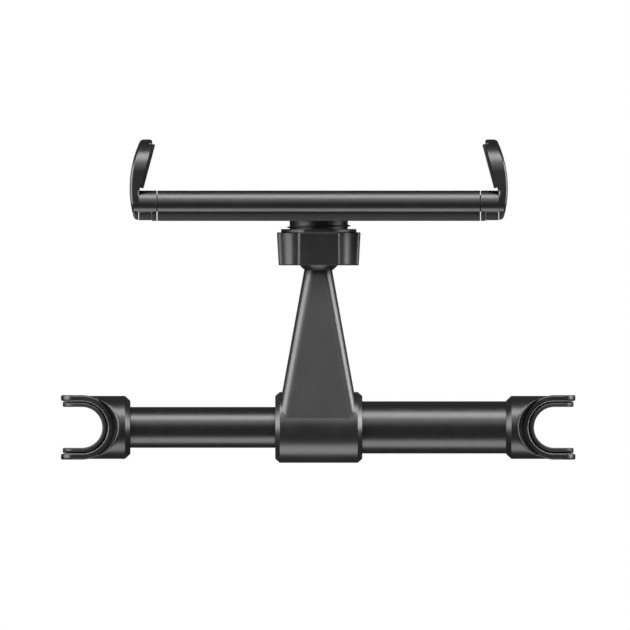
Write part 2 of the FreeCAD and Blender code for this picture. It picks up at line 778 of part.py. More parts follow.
def cover_screws():
    """Four like screws in one node, from one turned screw."""
    screw = new_body("cover_screw")
    outline = [
        ("0", "-cradle_back"),
        ("screw_head_rad", "-cradle_back"),
        ("screw_head_rad", "-(cradle_back + screw_head_depth)"),
        ("screw_rad", "-(cradle_back + screw_head_depth)"),
        ("screw_rad", f"-({SHELL_BACK} + screw_bite)"),
        ("0", f"-({SHELL_BACK} + screw_bite)"),
    ]
    turned(screw, "Revolution", [outline], "V_Axis")
    group = doc.addObject("Part::Feature", "cover_screws")
    group.Label = "cover_screws"
    places = [Vector(value(f"{MID} + {a}"), 0, value(b)) for a, b in screw_places()]
    group.Shape = Part.makeCompound([screw.Shape.translated(place) for place in places])
    return group


# Jaws. The far jaw is the near one turned half a turn about Y, so their racks face each other


def hook_place(height):
    """Across from the middle to the hook's inner face, at a height above the shell's front."""
    return f"{HEEL} - ({height}) * tan(hook_lean)"


def hook_arc_place(depth):
    """Across from the middle to the hook's outer arc, at a distance from the bar's axis."""
    return f"{ARC_ACROSS} + sqrt(hook_arc_rad ^ 2 - ({SHELL_FRONT} + hook_arc_up - ({depth})) ^ 2)"


def jaw_outline():
    """Plan of the jaw: bar, leaning hook with a round tip, outer arc, lip and foot."""
    bend = f"{TIP_BEND} * cos(hook_lean)"
    lip = "(cradle_back + lip_sink)"
    return [
        (SLEEVE, f"-{SHELL_FRONT}"),
        (HEEL, f"-{SHELL_FRONT}"),
        (hook_place(f"hook_rise - {bend}"), f"-({HOOK_TIP} - {bend})", "hook_tip_inner_rad", 1),
        (f"{hook_place('hook_rise')} + {TIP_BEND}", f"-{HOOK_TIP}"),
        (f"{ARC_ACROSS} + {TIP_RUN}", f"-{HOOK_TIP}", "hook_tip_rad", 1),
        (
            f"{ARC_ACROSS} + {TIP_RUN} * hook_arc_rad / {TIP_ARC}",
            f"-({SHELL_FRONT} + hook_arc_up + {TIP_UP} * hook_arc_rad / {TIP_ARC})",
            "hook_arc_rad",
            1,
        ),
        (hook_arc_place(lip), f"-{lip}"),
        (LIP, f"-{lip}"),
        (LIP, f"-{SHELL_BACK}"),
        (FOOT, f"-{SHELL_BACK}"),
        (FOOT, "-cradle_back"),
        (SLEEVE, "-cradle_back"),
    ]


def jaw_sides():
    """End view of the jaw: an outline to cut away, with the jaw left standing inside it."""
    half = "cradle_half_height"
    outside = box_outline(f"-({HOOK_TIP} + 2)", f"-({half} + 2)", "-(cradle_back - 2)", f"{half} + 2")
    inside = [
        ("-(cradle_back - 1)", FLAT_HALF),
        (f"-{SHELL_BACK}", FLAT_HALF, "shell_side_rad", 1),
        (f"-({SHELL_BACK} + shell_side_rad)", half),
        (f"-({HOOK_TIP} - hook_corner_rad)", half, "hook_corner_rad", 1),
        (f"-{HOOK_TIP}", f"{half} - hook_corner_rad"),
        (f"-{HOOK_TIP}", f"-({half} - hook_corner_rad)", "hook_corner_rad", 1),
        (f"-({HOOK_TIP} - hook_corner_rad)", f"-{half}"),
        (f"-({SHELL_BACK} + shell_side_rad)", f"-{half}", "shell_side_rad", 1),
        (f"-{SHELL_BACK}", f"-{FLAT_HALF}"),
        ("-(cradle_back - 1)", f"-{FLAT_HALF}"),
    ]
    return [outside, inside]


def bar_fronts():
    """What rounds the front corners of the jaw's bar, above and below, like the shell beside it."""
    front, deep = f"-{SHELL_FRONT}", f"-({SHELL_FRONT} - shell_side_rad)"
    fronts = []
    for sign, side in (("", -1), ("-", 1)):
        level = f"{sign}cradle_half_height"
        beyond = f"{sign}(cradle_half_height + 1)"
        corner = (front, f"{sign}{FLAT_HALF}", "shell_side_rad", side)
        fronts.append([corner, (deep, level), (deep, beyond), (front, beyond)])
    return fronts


def jaw(label, turn):
    body = new_body(label, MID, turn=turn)
    extrude(body, "Pad", sketch_on(body, "XY_Plane", [jaw_outline()]), "2 * cradle_half_height")
    extrude(body, "Pocket", sketch_on(body, "YZ_Plane", jaw_sides()), "3 * cradle_half")
    fronts = sketch_on(body, "YZ_Plane", bar_fronts(), SLEEVE)
    extrude(body, "Pocket", fronts, f"{HEEL} - {SLEEVE}", both=False, flip=True)
    seat = sketch_on(body, "XY_Plane", [pad_outline("-jaw_pad_sink", "1")])
    extrude(body, "Pocket", seat, f"2 * {JAW_PAD_HALF}")
    tongue(body)
    return body


def pad_outline(inner, outer):
    """A strip along the hook's inner face, between two distances square to that face."""
    corners = []
    low, high = "jaw_pad_low", "jaw_pad_high"
    for height, off in ((low, inner), (high, inner), (high, outer), (low, outer)):
        across = f"{hook_place(height)} - ({off}) * cos(hook_lean)"
        corners.append((across, f"-({SHELL_FRONT} + {height} - ({off}) * sin(hook_lean))"))
    return corners


def tongue(body):
    """The flat tongue that runs in the shell, with its rack reaching past the pinion."""
    clear = f"({CAVITY_HALF} - slide_gap)"
    root = f"({PITCH_RAD} + {TOOTH_SINK})"
    outline = [
        (f"{SLEEVE} + 1", f"-{clear}"),
        (f"{SLEEVE} + 1", clear),
        (SHOULDER, clear),
        (SHOULDER, ARM_TOP),
        (f"-{TONGUE_END}", ARM_TOP),
        (f"-{TONGUE_END}", root),
        (SHOULDER, root),
        (SHOULDER, f"-{clear}"),
    ]
    level = f"{SHELL_BACK} + slide_gap"
    depth = "shell_depth - front_wall - 2 * slide_gap"
    extrude(body, "Pad", sketch_on(body, "XZ_Plane", [outline], level), depth, both=False)
    first = f"(0.5 * {PITCH})"
    tip = f"({PITCH_RAD} - {TOOTH_RISE})"
    middle = f"({PITCH} / 4 - tooth_slack / 2)"
    wide = f"({middle} + {TOOTH_SINK} * tan(20))"
    thin = f"({middle} - {TOOTH_RISE} * tan(20))"
    tooth = [
        (f"{first} - {wide}", f"{root} + 0.5"),
        (f"{first} - {wide}", root),
        (f"{first} - {thin}", tip),
        (f"{first} + {thin}", tip),
        (f"{first} + {wide}", root),
        (f"{first} + {wide}", f"{root} + 0.5"),
    ]
    one = extrude(body, "Pad", sketch_on(body, "XZ_Plane", [tooth], level), depth, both=False)
    row = body.newObject("PartDesign::LinearPattern", body.Label + "_rack")
    row.Originals = [one]
    row.Direction = (base(body, "X_Axis"), [""])
    row.Reversed = True
    bind(row, "Length", f"({RACK_TEETH} - 1) * {PITCH}")
    bind(row, "Occurrences", RACK_TEETH)
    settle(body, row)
    hole = sketch_on(body, "YZ_Plane", [(SPRING_LEVEL, SPRING_UP, "jaw_spring_wire")], SHOULDER)
    extrude(body, "Pocket", hole, "jaw_spring_hook", both=False, flip=True)


def jaw_pad(label, turn):
    body = new_body(label, MID, turn=turn)
    strip = sketch_on(body, "XY_Plane", [pad_outline("-jaw_pad_sink", "jaw_pad_proud")])
    extrude(body, "Pad", strip, f"2 * {JAW_PAD_HALF}")
    return body


def jaw_cover(label, turn):
    body = new_body(label, MID, turn=turn)
    near, far = f"{FOOT} + cover_block_gap", f"{LIP} - cover_block_gap"
    block = box_outline(near, f"-{SHELL_BACK}", far, "-(cradle_back + cover_block_sink)")
    extrude(body, "Pad", sketch_on(body, "XY_Plane", [block]), f"2 * {FLAT_HALF}")
    return body


def jaw_spring(label, turn):
    """A close-wound tension spring drawn as its sleeve, with the straight wire ends."""
    body = new_body(label, MID, turn=turn)
    near = "(post_far + jaw_spring_slack)"
    sleeve = sketch_on(body, "YZ_Plane", [(SPRING_LEVEL, SPRING_UP, SPRING_RAD)], near)
    extrude(body, "Pad", sleeve, f"{SPRING_SHOULDER} - {near}", both=False)
    ends = (SPRING_LEVEL, SPRING_UP, "jaw_spring_wire")
    wire = sketch_on(body, "YZ_Plane", [ends], "post_far - jaw_spring_hook")
    extrude(body, "Pad", wire, f"{SHOULDER} - post_far + 2 * jaw_spring_hook", both=False)
    return body


def pinion():
    body = new_body("pinion", MID)
    start = f"{SHELL_BACK} + slide_gap"
    depth = "shell_depth - front_wall - 2 * slide_gap"
    root = f"({PITCH_RAD} - {TOOTH_SINK})"
    disc = sketch_on(body, "XZ_Plane", [("0", "0", root), ("0", "0", "pin_rad + running_gap")], start)
    extrude(body, "Pad", disc, depth, both=False)
    half = f"({PITCH} / 4 - tooth_slack / 2)"
    low = f"({root} - 0.3)"
    tip = f"({PITCH_RAD} + {TOOTH_RISE})"
    tooth = [
        (f"-0.8 * {half}", low),
        (f"0.8 * {half}", low),
        (half, PITCH_RAD),
        (f"0.4 * {half}", tip),
        (f"-0.4 * {half}", tip),
        (f"-{half}", PITCH_RAD),
    ]
    one = extrude(body, "Pad", sketch_on(body, "XZ_Plane", [tooth], start), depth, both=False)
    polar(body, one, "Y_Axis", "pinion_teeth")
    return body


def pinion_pin():
    body = new_body("pinion_pin", MID)
    front = f"-({SHELL_FRONT} - front_wall + pin_bite_front)"
    back = f"-({SHELL_BACK} - pin_bite_back)"
    turned(body, "Revolution", [box_outline("0", front, "pin_rad", back)], "V_Axis")
    return body


def build():
    facing = Rotation(Vector(0, 0, 1), 180)
    mirrored = Rotation(Vector(0, 1, 0), 180)
    nodes = [
        hub_arm(),
        outer_tube(),
        tube("inner_tube", INNER_END, "post_span - tube_seat", "inner_tube_rad", "inner_tube_bore"),
        guide_bush(),
        inner_plug(),
        bar_spring(),
        hub_screw(),
        fork("fixed_fork", "0", None, "outer_tube_rad", "outer_tube_bore"),
        fork("sliding_fork", "post_span", facing, "inner_tube_rad", "inner_tube_bore"),
        fork_liner("fixed_fork_pad", "0", None),
        fork_liner("sliding_fork_pad", "post_span", facing),
        ball_stud(),
        spherical_cup("friction_cup", CUP_RAD, CUP_OUTER, "cup_angle"),
        spherical_cup("backing_pad", BACKING_RAD, BACKING_OUTER, "backing_angle"),
        ball_socket(),
        clamp_nut(),
        front_shell(),
        back_cover(),
        cover_screws(),
        face_pad("face_pad_a", ""),
        face_pad("face_pad_b", "-"),
        pinion(),
        pinion_pin(),
    ]
    for side, turn in (("a", None), ("b", mirrored)):
        nodes.append(jaw(f"jaw_{side}", turn))
        nodes.append(jaw_pad(f"jaw_{side}_pad", turn))
        nodes.append(jaw_cover(f"jaw_{side}_cover", turn))
        nodes.append(jaw_spring(f"jaw_{side}_spring", turn))
    return nodes


nodes = build()
doc.recompute()
for item in doc.Objects:
    if "Invalid" in item.State or "Error" in item.State:
        raise RuntimeError(f"{item.Label} failed: {item.State}")
for node in nodes:
    if node.Shape.isNull() or not node.Shape.isValid():
        raise RuntimeError(f"{node.Label} has no valid solid")
os.makedirs("parts", exist_ok=True)
for node in nodes:
    node.Shape.exportStep(f"parts/{node.Label}.step")
    print(f"{node.Label:18s} solids {len(node.Shape.Solids)}  {node.Shape.Volume:9.1f} mm3")
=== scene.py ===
import logging
import math
from dataclasses import dataclass
from enum import Enum
from typing import Callable, Dict, Iterable, List, Optional, Sequence, Tuple

import bmesh
import bpy
from mathutils import Euler, Matrix, Vector


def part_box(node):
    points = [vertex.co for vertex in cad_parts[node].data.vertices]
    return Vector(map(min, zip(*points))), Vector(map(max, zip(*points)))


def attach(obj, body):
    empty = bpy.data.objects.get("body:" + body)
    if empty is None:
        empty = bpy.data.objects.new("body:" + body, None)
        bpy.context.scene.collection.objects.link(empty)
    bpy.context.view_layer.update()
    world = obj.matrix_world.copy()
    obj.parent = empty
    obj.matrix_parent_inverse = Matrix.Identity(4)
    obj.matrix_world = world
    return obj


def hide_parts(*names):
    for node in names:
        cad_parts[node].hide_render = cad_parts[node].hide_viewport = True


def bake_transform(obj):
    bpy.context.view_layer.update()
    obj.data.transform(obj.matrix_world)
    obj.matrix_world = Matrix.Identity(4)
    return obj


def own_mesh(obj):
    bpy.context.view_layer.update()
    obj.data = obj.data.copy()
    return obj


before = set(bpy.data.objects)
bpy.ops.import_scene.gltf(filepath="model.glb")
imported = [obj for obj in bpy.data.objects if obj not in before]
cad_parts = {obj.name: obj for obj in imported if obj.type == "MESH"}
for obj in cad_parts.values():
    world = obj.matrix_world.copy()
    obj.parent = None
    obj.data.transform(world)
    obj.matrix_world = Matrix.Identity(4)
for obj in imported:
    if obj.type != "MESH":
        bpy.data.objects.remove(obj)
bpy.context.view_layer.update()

# A phone holder that clamps between two headrest posts, dressed for rendering. Lengths are millimetres
# in the frame of the model, +X along the bar, -Y towards the phone, +Z up the posts.

MM = 0.001
FULL_TURN = 2 * math.pi
ARC_STEP = math.radians(9)
TURN_STEPS = 144
SHARP_ANGLE = math.radians(32)
BEVEL_ANGLE = math.radians(40)
WELD = 1e-5
SMOOTHING = 0.5
MIDDLE = 82.5
BALL_PLACE = -62.0
OVER = 1.0

# Where nearly all values of a noise lie, and those of the sum of two.
NOISE_RANGE = (0.3, 0.7)
SUM_RANGE = (0.6, 1.4)

# Outer radius and bore of the two tubes of the bar.
THICK_TUBE = (9.15, 7.65)
THIN_TUBE = (7.15, 5.75)

# The cradle's places on Y, and its half heights up to the seam and behind it.
FRONT = -82.9
SEAM = -75.4
BACK = -72.25
HALF_HEIGHT = 20.0
FLAT_HALF = 16.3

# The cradle's long sides: where they stand out most, and the radii in front of that line and behind it.
CREST = -78.45
FRONT_ROUND = 5.2
BACK_ROUND = 3.7

Point2 = Tuple[float, float]
Point3 = Tuple[float, float, float]
Loop = List[Point2]
Ring = List[Point3]
Placing = Callable[[float, float, float], Point3]

log = logging.getLogger("holder")


class Grain(Enum):
    """The fine surface of a finish, as seen close up."""

    CAST = "cast"
    DRAWN = "drawn"
    MOULDED = "moulded"
    RUBBER = "rubber"
    TURNED = "turned"


class Mix(Enum):
    """The two ways in which one solid acts on another."""

    ADD = "UNION"
    CUT = "DIFFERENCE"


class Axis(Enum):
    """The two directions about which pieces are turned."""

    BAR = "x"
    BALL = "y"


@dataclass(frozen=True)
class Finish:
    """One finish: its grey, its gloss and the grain of its surface."""

    name: str
    slot: str
    grey: float
    roughness: float
    grain: Grain
    grain_size: float
    grain_depth: float
    mottle: float = 0.08
    metallic: float = 0.0
    specular: float = 0.5
    grain_detail: float = 3.0
    patch_detail: float = 4.0
    patch_size: float = 20.0
    gloss_spread: float = 0.03

    def stretch(self) -> Point3:
        """How far the grain is drawn out along each axis, as a scale of the noise."""
        drawn_out = {Grain.DRAWN: (0.06, 1.0, 1.0), Grain.TURNED: (1.0, 1.0, 0.2)}
        return drawn_out.get(self.grain, (1.0, 1.0, 1.0))

    def relief(self, tree: bpy.types.NodeTree, place: bpy.types.NodeSocket) -> bpy.types.NodeSocket:
        """Adds the grain and its relief to a node tree.

        Args:
            tree: the material's node tree.
            place: the coordinates that the grain follows.

        Returns:
            The grain's value, for the colour.
        """
        nodes, links = tree.nodes, tree.links
        drawn = nodes.new("ShaderNodeMapping")
        drawn.inputs["Scale"].default_value = self.stretch()
        links.new(place, drawn.inputs["Vector"])
        fine = nodes.new("ShaderNodeTexNoise")
        fine.inputs["Scale"].default_value = 1 / (self.grain_size * MM)
        fine.inputs["Detail"].default_value = self.grain_detail
        links.new(drawn.outputs["Vector"], fine.inputs["Vector"])
        height = fine.outputs["Fac"]
        if self.grain is Grain.MOULDED:
            cells = nodes.new("ShaderNodeTexVoronoi")
            cells.feature = "SMOOTH_F1"
            cells.inputs["Scale"].default_value = 1 / (self.grain_size * MM)
            links.new(drawn.outputs["Vector"], cells.inputs["Vector"])
            height = cells.outputs["Distance"]
        bump = nodes.new("ShaderNodeBump")
        bump.inputs["Distance"].default_value = self.grain_depth * MM
        links.new(height, bump.inputs["Height"])
        links.new(bump.outputs["Normal"], nodes["Principled BSDF"].inputs["Normal"])
        return fine.outputs["Fac"]

    def material(self) -> bpy.types.Material:
        """The finish as a procedural material, made once and shared.

        Returns:
            The material, with colour, roughness and relief from its nodes.
        """
        made = bpy.data.materials.get(self.name)
        if made:
            return made
        made = bpy.data.materials.new(self.name)
        made.use_nodes = True
        nodes, links = made.node_tree.nodes, made.node_tree.links
        shader = nodes["Principled BSDF"]
        shader.inputs["Metallic"].default_value = self.metallic
        shader.inputs["Specular IOR Level"].default_value = self.specular
        place = nodes.new("ShaderNodeTexCoord").outputs["Object"]
        fine = self.relief(made.node_tree, place)
        broad = nodes.new("ShaderNodeTexNoise")
        broad.inputs["Scale"].default_value = 1 / (self.patch_size * self.grain_size * MM)
        broad.inputs["Detail"].default_value = self.patch_detail
        links.new(place, broad.inputs["Vector"])
        both = nodes.new("ShaderNodeMath")
        both.operation = "ADD"
        links.new(fine, both.inputs[0])
        links.new(broad.outputs["Fac"], both.inputs[1])
        tint = (self.grey * (1 - self.mottle), self.grey * (1 + self.mottle))
        spread = (self.roughness - self.gloss_spread, self.roughness + self.gloss_spread)
        for value, seen, shown, socket in (
            (both.outputs[0], SUM_RANGE, tint, "Base Color"),
            (broad.outputs["Fac"], NOISE_RANGE, spread, "Roughness"),
        ):
            span = nodes.new("ShaderNodeMapRange")
            span.inputs["From Min"].default_value, span.inputs["From Max"].default_value = seen
            span.inputs["To Min"].default_value, span.inputs["To Max"].default_value = shown
            links.new(value, span.inputs["Value"])
            links.new(span.outputs["Result"], shader.inputs[socket])
        return made


PAINTED_CASTING = Finish(
    "painted_casting", "cast_metal", 0.010, 0.33, Grain.CAST, 0.45, 0.004, mottle=0.25, specular=0.85
)
FORK_PAINT = Finish("fork_paint", "cast_metal", 0.006, 0.34, Grain.CAST, 0.30, 0.003, specular=0.75)
ANODISED_TUBE = Finish("anodised_tube", "tube_metal", 0.006, 0.32, Grain.DRAWN, 0.12, 0.002, specular=0.8)
BALL_SATIN = Finish("ball_satin", "ball_metal", 0.012, 0.32, Grain.TURNED, 0.15, 0.002, specular=0.8)
CRADLE_PLASTIC = Finish("cradle_plastic", "plastic", 0.006, 0.31, Grain.MOULDED, 0.22, 0.003, specular=0.8)
# Painted sheen: this lighter grey stands in for light that sloped faces behind the seam would reflect, since
# those faces are built flat.
PAINTED_SHEEN_PLASTIC = Finish("cover_plastic_painted_sheen", "plastic", 0.034, 0.44, Grain.MOULDED, 0.22, 0.005, specular=0.6)
NUT_PLASTIC = Finish("nut_plastic", "plastic", 0.006, 0.40, Grain.MOULDED, 0.22, 0.003, specular=0.6)
LINER_RUBBER = Finish("liner_rubber", "soft_rubber", 0.014, 0.45, Grain.RUBBER, 0.18, 0.006, specular=0.6)
INNER_NYLON = Finish("inner_nylon", "nylon", 0.08, 0.4, Grain.MOULDED, 0.3, 0.004)
DRAWN_STEEL = Finish("drawn_steel", "steel", 0.45, 0.3, Grain.TURNED, 0.12, 0.003, metallic=1.0)
BLACK_STEEL = Finish("black_steel", "steel", 0.05, 0.35, Grain.TURNED, 0.12, 0.003, metallic=0.9)


@dataclass
class Piece:
    """A finished mesh, with the body that it moves with and the nodes that it stands for."""

    thing: bpy.types.Object
    name: str
    finish: Finish
    body: str
    nodes: Tuple[str, ...]
    # A second finish for faces behind the seam; it carries the lighter grey that is painted sheen.
    painted_sheen_finish: Optional[Finish] = None
    back_from: float = -75.3

    def dress(self) -> bpy.types.Object:
        """Scales the mesh to metres, shades it and hands it to the frame.

        Returns:
            The object of the finished piece.
        """
        self.thing.name = self.name
        self.thing.data.name = self.name
        self.thing.data.transform(Matrix.Scale(MM, 4))
        shade(self.thing)
        self.thing.data.materials.clear()
        self.thing.data.materials.append(self.finish.material())
        # Faces behind the seam get the lighter grey, which is painted sheen.
        if self.painted_sheen_finish:
            self.thing.data.materials.append(self.painted_sheen_finish.material())
            for face in self.thing.data.polygons:
                face.material_index = int(face.center.y > self.back_from * MM)
        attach(self.thing, self.body)
        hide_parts(*self.nodes)
        return self.thing


def shade(thing: bpy.types.Object) -> None:
    """Smooth shading with crisp creases and flat faces that stay flat.

    Args:
        thing: the object, whose mesh is changed.
    """
    thing.data.shade_smooth()
    thing.data.set_sharp_from_angle(angle=SHARP_ANGLE)
    normals = thing.modifiers.new("normals", "WEIGHTED_NORMAL")
    normals.keep_sharp = True
    bake(thing)


def bake(thing: bpy.types.Object) -> None:
    """Applies all modifiers of an object to its mesh.

    Args:
        thing: the object, which keeps its name and place.
    """
    graph = bpy.context.evaluated_depsgraph_get()
    made = bpy.data.meshes.new_from_object(thing.evaluated_get(graph))
    thing.modifiers.clear()
    old = thing.data
    thing.data = made
    bpy.data.meshes.remove(old)


def solid(shape: bmesh.types.BMesh) -> bpy.types.Object:
    """An object of the scene from a mesh under construction.

    Args:
        shape: the mesh, in millimetres, which is freed.

    Returns:
        The new object.
    """
    bmesh.ops.recalc_face_normals(shape, faces=shape.faces)
    mesh = bpy.data.meshes.new("solid")
    shape.to_mesh(mesh)
    shape.free()
    thing = bpy.data.objects.new("solid", mesh)
    bpy.context.scene.collection.objects.link(thing)
    return thing


def combine(base: bpy.types.Object, tool: bpy.types.Object, mix: Mix) -> bpy.types.Object:
    """Adds a solid to another one or cuts it away from it, and uses it up.

    Args:
        base: the solid that changes.
        tool: the solid that acts on it.
        mix: what the tool does.

    Returns:
        The changed solid.
    """
    join = base.modifiers.new("join", "BOOLEAN")
    join.operation = mix.value
    join.solver = "EXACT"
    join.object = tool
    bake(base)
    bpy.data.objects.remove(tool)
    return base


def bevelled(thing: bpy.types.Object, width: float, steps: int = 3) -> bpy.types.Object:
    """Rounds every edge that turns by more than the bevel angle.

    Args:
        thing: the solid.
        width: how wide the rounded edge is.
        steps: its number of facets.

    Returns:
        The same object with its new mesh.
    """
    edge = thing.modifiers.new("edge", "BEVEL")
    edge.width = width
    edge.segments = steps
    edge.limit_method = "ANGLE"
    edge.angle_limit = BEVEL_ANGLE
    bake(thing)
    return thing


def softened(thing: bpy.types.Object, cell: float, rounds: int) -> bpy.types.Object:
    """Rebuilds a solid in small cells and smooths it, which rounds all its edges alike.

    Args:
        thing: the solid.
        cell: the size of the cells.
        rounds: how often the surface is smoothed.

    Returns:
        The same object with its new mesh.
    """
    cells = thing.modifiers.new("cells", "REMESH")
    cells.mode = "VOXEL"
    cells.voxel_size = cell
    calm = thing.modifiers.new("calm", "SMOOTH")
    calm.factor = SMOOTHING
    calm.iterations = rounds
    bake(thing)
    return thing


def skin(rings: Sequence[Ring], closed: bool = False) -> bmesh.types.BMesh:
    """A surface through rings that have as many points each.

    Args:
        rings: the rings in order.
        closed: whether the last ring joins the first; otherwise both ends are capped.

    Returns:
        The mesh.
    """
    shape = bmesh.new()
    rows = [[shape.verts.new(point) for point in ring] for ring in rings]
    pairs = list(zip(rows, rows[1:]))
    if closed:
        pairs.append((rows[-1], rows[0]))
    for low, high in pairs:
        for here, after in zip(range(len(low)), list(range(1, len(low))) + [0]):
            shape.faces.new((low[here], low[after], high[after], high[here]))
    if not closed:
        shape.faces.new(rows[0])
        shape.faces.new(rows[-1])
    return shape


def prism(loop: Loop, place: Placing, low: float, high: float) -> bpy.types.Object:
    """A straight solid over a closed outline.

    Args:
        loop: the outline in its own two directions.
        place: turns the two coordinates and a level into a point.
        low: the first level.
        high: the second level.

    Returns:
        The solid.
    """
    return solid(skin([[place(u, v, level) for u, v in loop] for level in (low, high)]))


def from_top(u: float, v: float, level: float) -> Point3:
    """A point of an outline drawn in plan, looking down the posts."""
    return (u, v, level)


def from_front(u: float, v: float, level: float) -> Point3:
    """A point of an outline drawn in front view, looking along the arm."""
    return (u, level, v)


def from_side(u: float, v: float, level: float) -> Point3:
    """A point of an outline drawn in end view, looking along the bar."""
    return (level, u, v)


def rounded_loop(corners: Sequence[Tuple[float, float, float]]) -> Loop:
    """A closed outline with rounded corners.

    Args:
        corners: each corner with its radius, which may be 0.

    Returns:
        The points of the outline, with arcs in small steps.
    """
    loop: Loop = []
    for number, (u, v, radius) in enumerate(corners):
        corner = Vector((u, v))
        if radius <= 0:
            loop.append((u, v))
            continue
        back = (Vector(corners[number - 1][:2]) - corner).normalized()
        ahead = (Vector(corners[(number + 1) % len(corners)][:2]) - corner).normalized()
        half = back.angle(ahead) / 2
        centre = corner + (back + ahead).normalized() * (radius / math.sin(half))
        start = corner + back * (radius / math.tan(half)) - centre
        end = corner + ahead * (radius / math.tan(half)) - centre
        first = math.atan2(start.y, start.x)
        turn = (math.atan2(end.y, end.x) - first + math.pi) % FULL_TURN - math.pi
        steps = max(2, math.ceil(abs(turn) / ARC_STEP))
        for step in range(steps + 1):
            angle = first + turn * step / steps
            loop.append((centre.x + radius * math.cos(angle), centre.y + radius * math.sin(angle)))
    return loop


def box_loop(left: float, low: float, right: float, high: float, radius: float = 0.0) -> Loop:
    """A rectangle with its corners rounded."""
    corners = [(left, low, radius), (right, low, radius), (right, high, radius), (left, high, radius)]
    return rounded_loop(corners)


def arc_loop(centre: Point2, radius: float, first: float, last: float, steps: int = 0) -> Loop:
    """Points of an arc from one angle to another, in degrees.

    Args:
        centre: the arc's centre.
        radius: its radius.
        first: the angle where it starts.
        last: the angle where it ends.
        steps: its number of sides, or 0 for the usual one.

    Returns:
        The points, both ends included.
    """
    steps = steps or max(2, math.ceil(abs(last - first) / math.degrees(ARC_STEP)))
    angles = [math.radians(first + (last - first) * step / steps) for step in range(steps + 1)]
    return [(centre[0] + radius * math.cos(a), centre[1] + radius * math.sin(a)) for a in angles]


def round_loop(centre: Point2, radius: float) -> Loop:
    """A small round hole's outline, closed by its last short side."""
    return arc_loop(centre, radius, 0, 350)


def corner_arc(corner: Point2, radius: float, side: int) -> Loop:
    """Points that round an upper corner, from left to right over the top.

    Args:
        corner: the corner that is rounded off.
        radius: its radius, which may be 0.
        side: 1 for the left corner, -1 for the right one.

    Returns:
        As many points for every radius.
    """
    centre = (corner[0] + side * radius, corner[1] - radius)
    turns = [math.radians(18 * step) for step in range(6)]
    loop = [(centre[0] - side * radius * math.cos(a), centre[1] + radius * math.sin(a)) for a in turns]
    return loop if side > 0 else loop[::-1]


def fall(depth: float, crest: float) -> float:
    """How far the cradle's long side lies below its crest, at a place on Y."""
    radius = FRONT_ROUND if depth < crest else BACK_ROUND
    return radius - math.sqrt(radius ** 2 - (depth - crest) ** 2)


def rounding(reach: float, radius: float) -> float:
    """How far a rounded corner draws a side in, at a distance from the end.

    Args:
        reach: the distance from the end.
        radius: the corner's radius.

    Returns:
        The distance, 0 past the corner.
    """
    if reach >= radius:
        return 0.0
    return radius - math.sqrt(radius ** 2 - (radius - max(reach, 0.0)) ** 2)


def lathe(profile: Loop, axis: Axis, across: float = 0.0, closed: bool = True) -> bpy.types.Object:
    """A turned solid.

    Args:
        profile: points (place along the axis, radius).
        axis: the bar's axis, or the ball's axis, which runs along Y.
        across: where the ball's axis lies on X.
        closed: whether the profile is a closed loop; an open one starts and ends on the axis.

    Returns:
        The solid.
    """
    rows: List[Ring] = []
    for step in range(TURN_STEPS):
        angle = FULL_TURN * step / TURN_STEPS
        cos, sin = math.cos(angle), math.sin(angle)
        if axis is Axis.BAR:
            rows.append([(along, radius * sin, radius * cos) for along, radius in profile])
        else:
            rows.append([(across + radius * cos, along, radius * sin) for along, radius in profile])
    shape = bmesh.new()
    made = [[shape.verts.new(point) for point in row] for row in rows]
    count = len(profile)
    for row, after in zip(made, made[1:] + made[:1]):
        for here in range(count if closed else count - 1):
            ahead = (here + 1) % count
            shape.faces.new((row[here], row[ahead], after[ahead], after[here]))
    bmesh.ops.remove_doubles(shape, verts=shape.verts, dist=WELD)
    return solid(shape)


def tube_profile(start: float, end: float, bore: float, radius: float, edge: float) -> Loop:
    """Closed profile of a tube with softly broken outer edges."""
    return rounded_loop([(start, bore, 0), (start, radius, edge), (end, radius, edge), (end, bore, 0)])


def half_turn(thing: bpy.types.Object, axis: str, across: float) -> bpy.types.Object:
    """Turns a solid by half a turn about an upright or level line through a place on X.

    Args:
        thing: the solid.
        axis: the direction of the line, Z or Y.
        across: where the line lies on X.

    Returns:
        The same object, turned.
    """
    about = Matrix.Translation((across, 0, 0))
    thing.data.transform(about @ Matrix.Rotation(math.pi, 4, axis) @ about.inverted())
    return thing


def extent(node: str, axis: int) -> Point2:
    """Where a node of the frame starts and ends along an axis, in millimetres."""
    low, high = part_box(node)
    return (low[axis] / MM, high[axis] / MM)


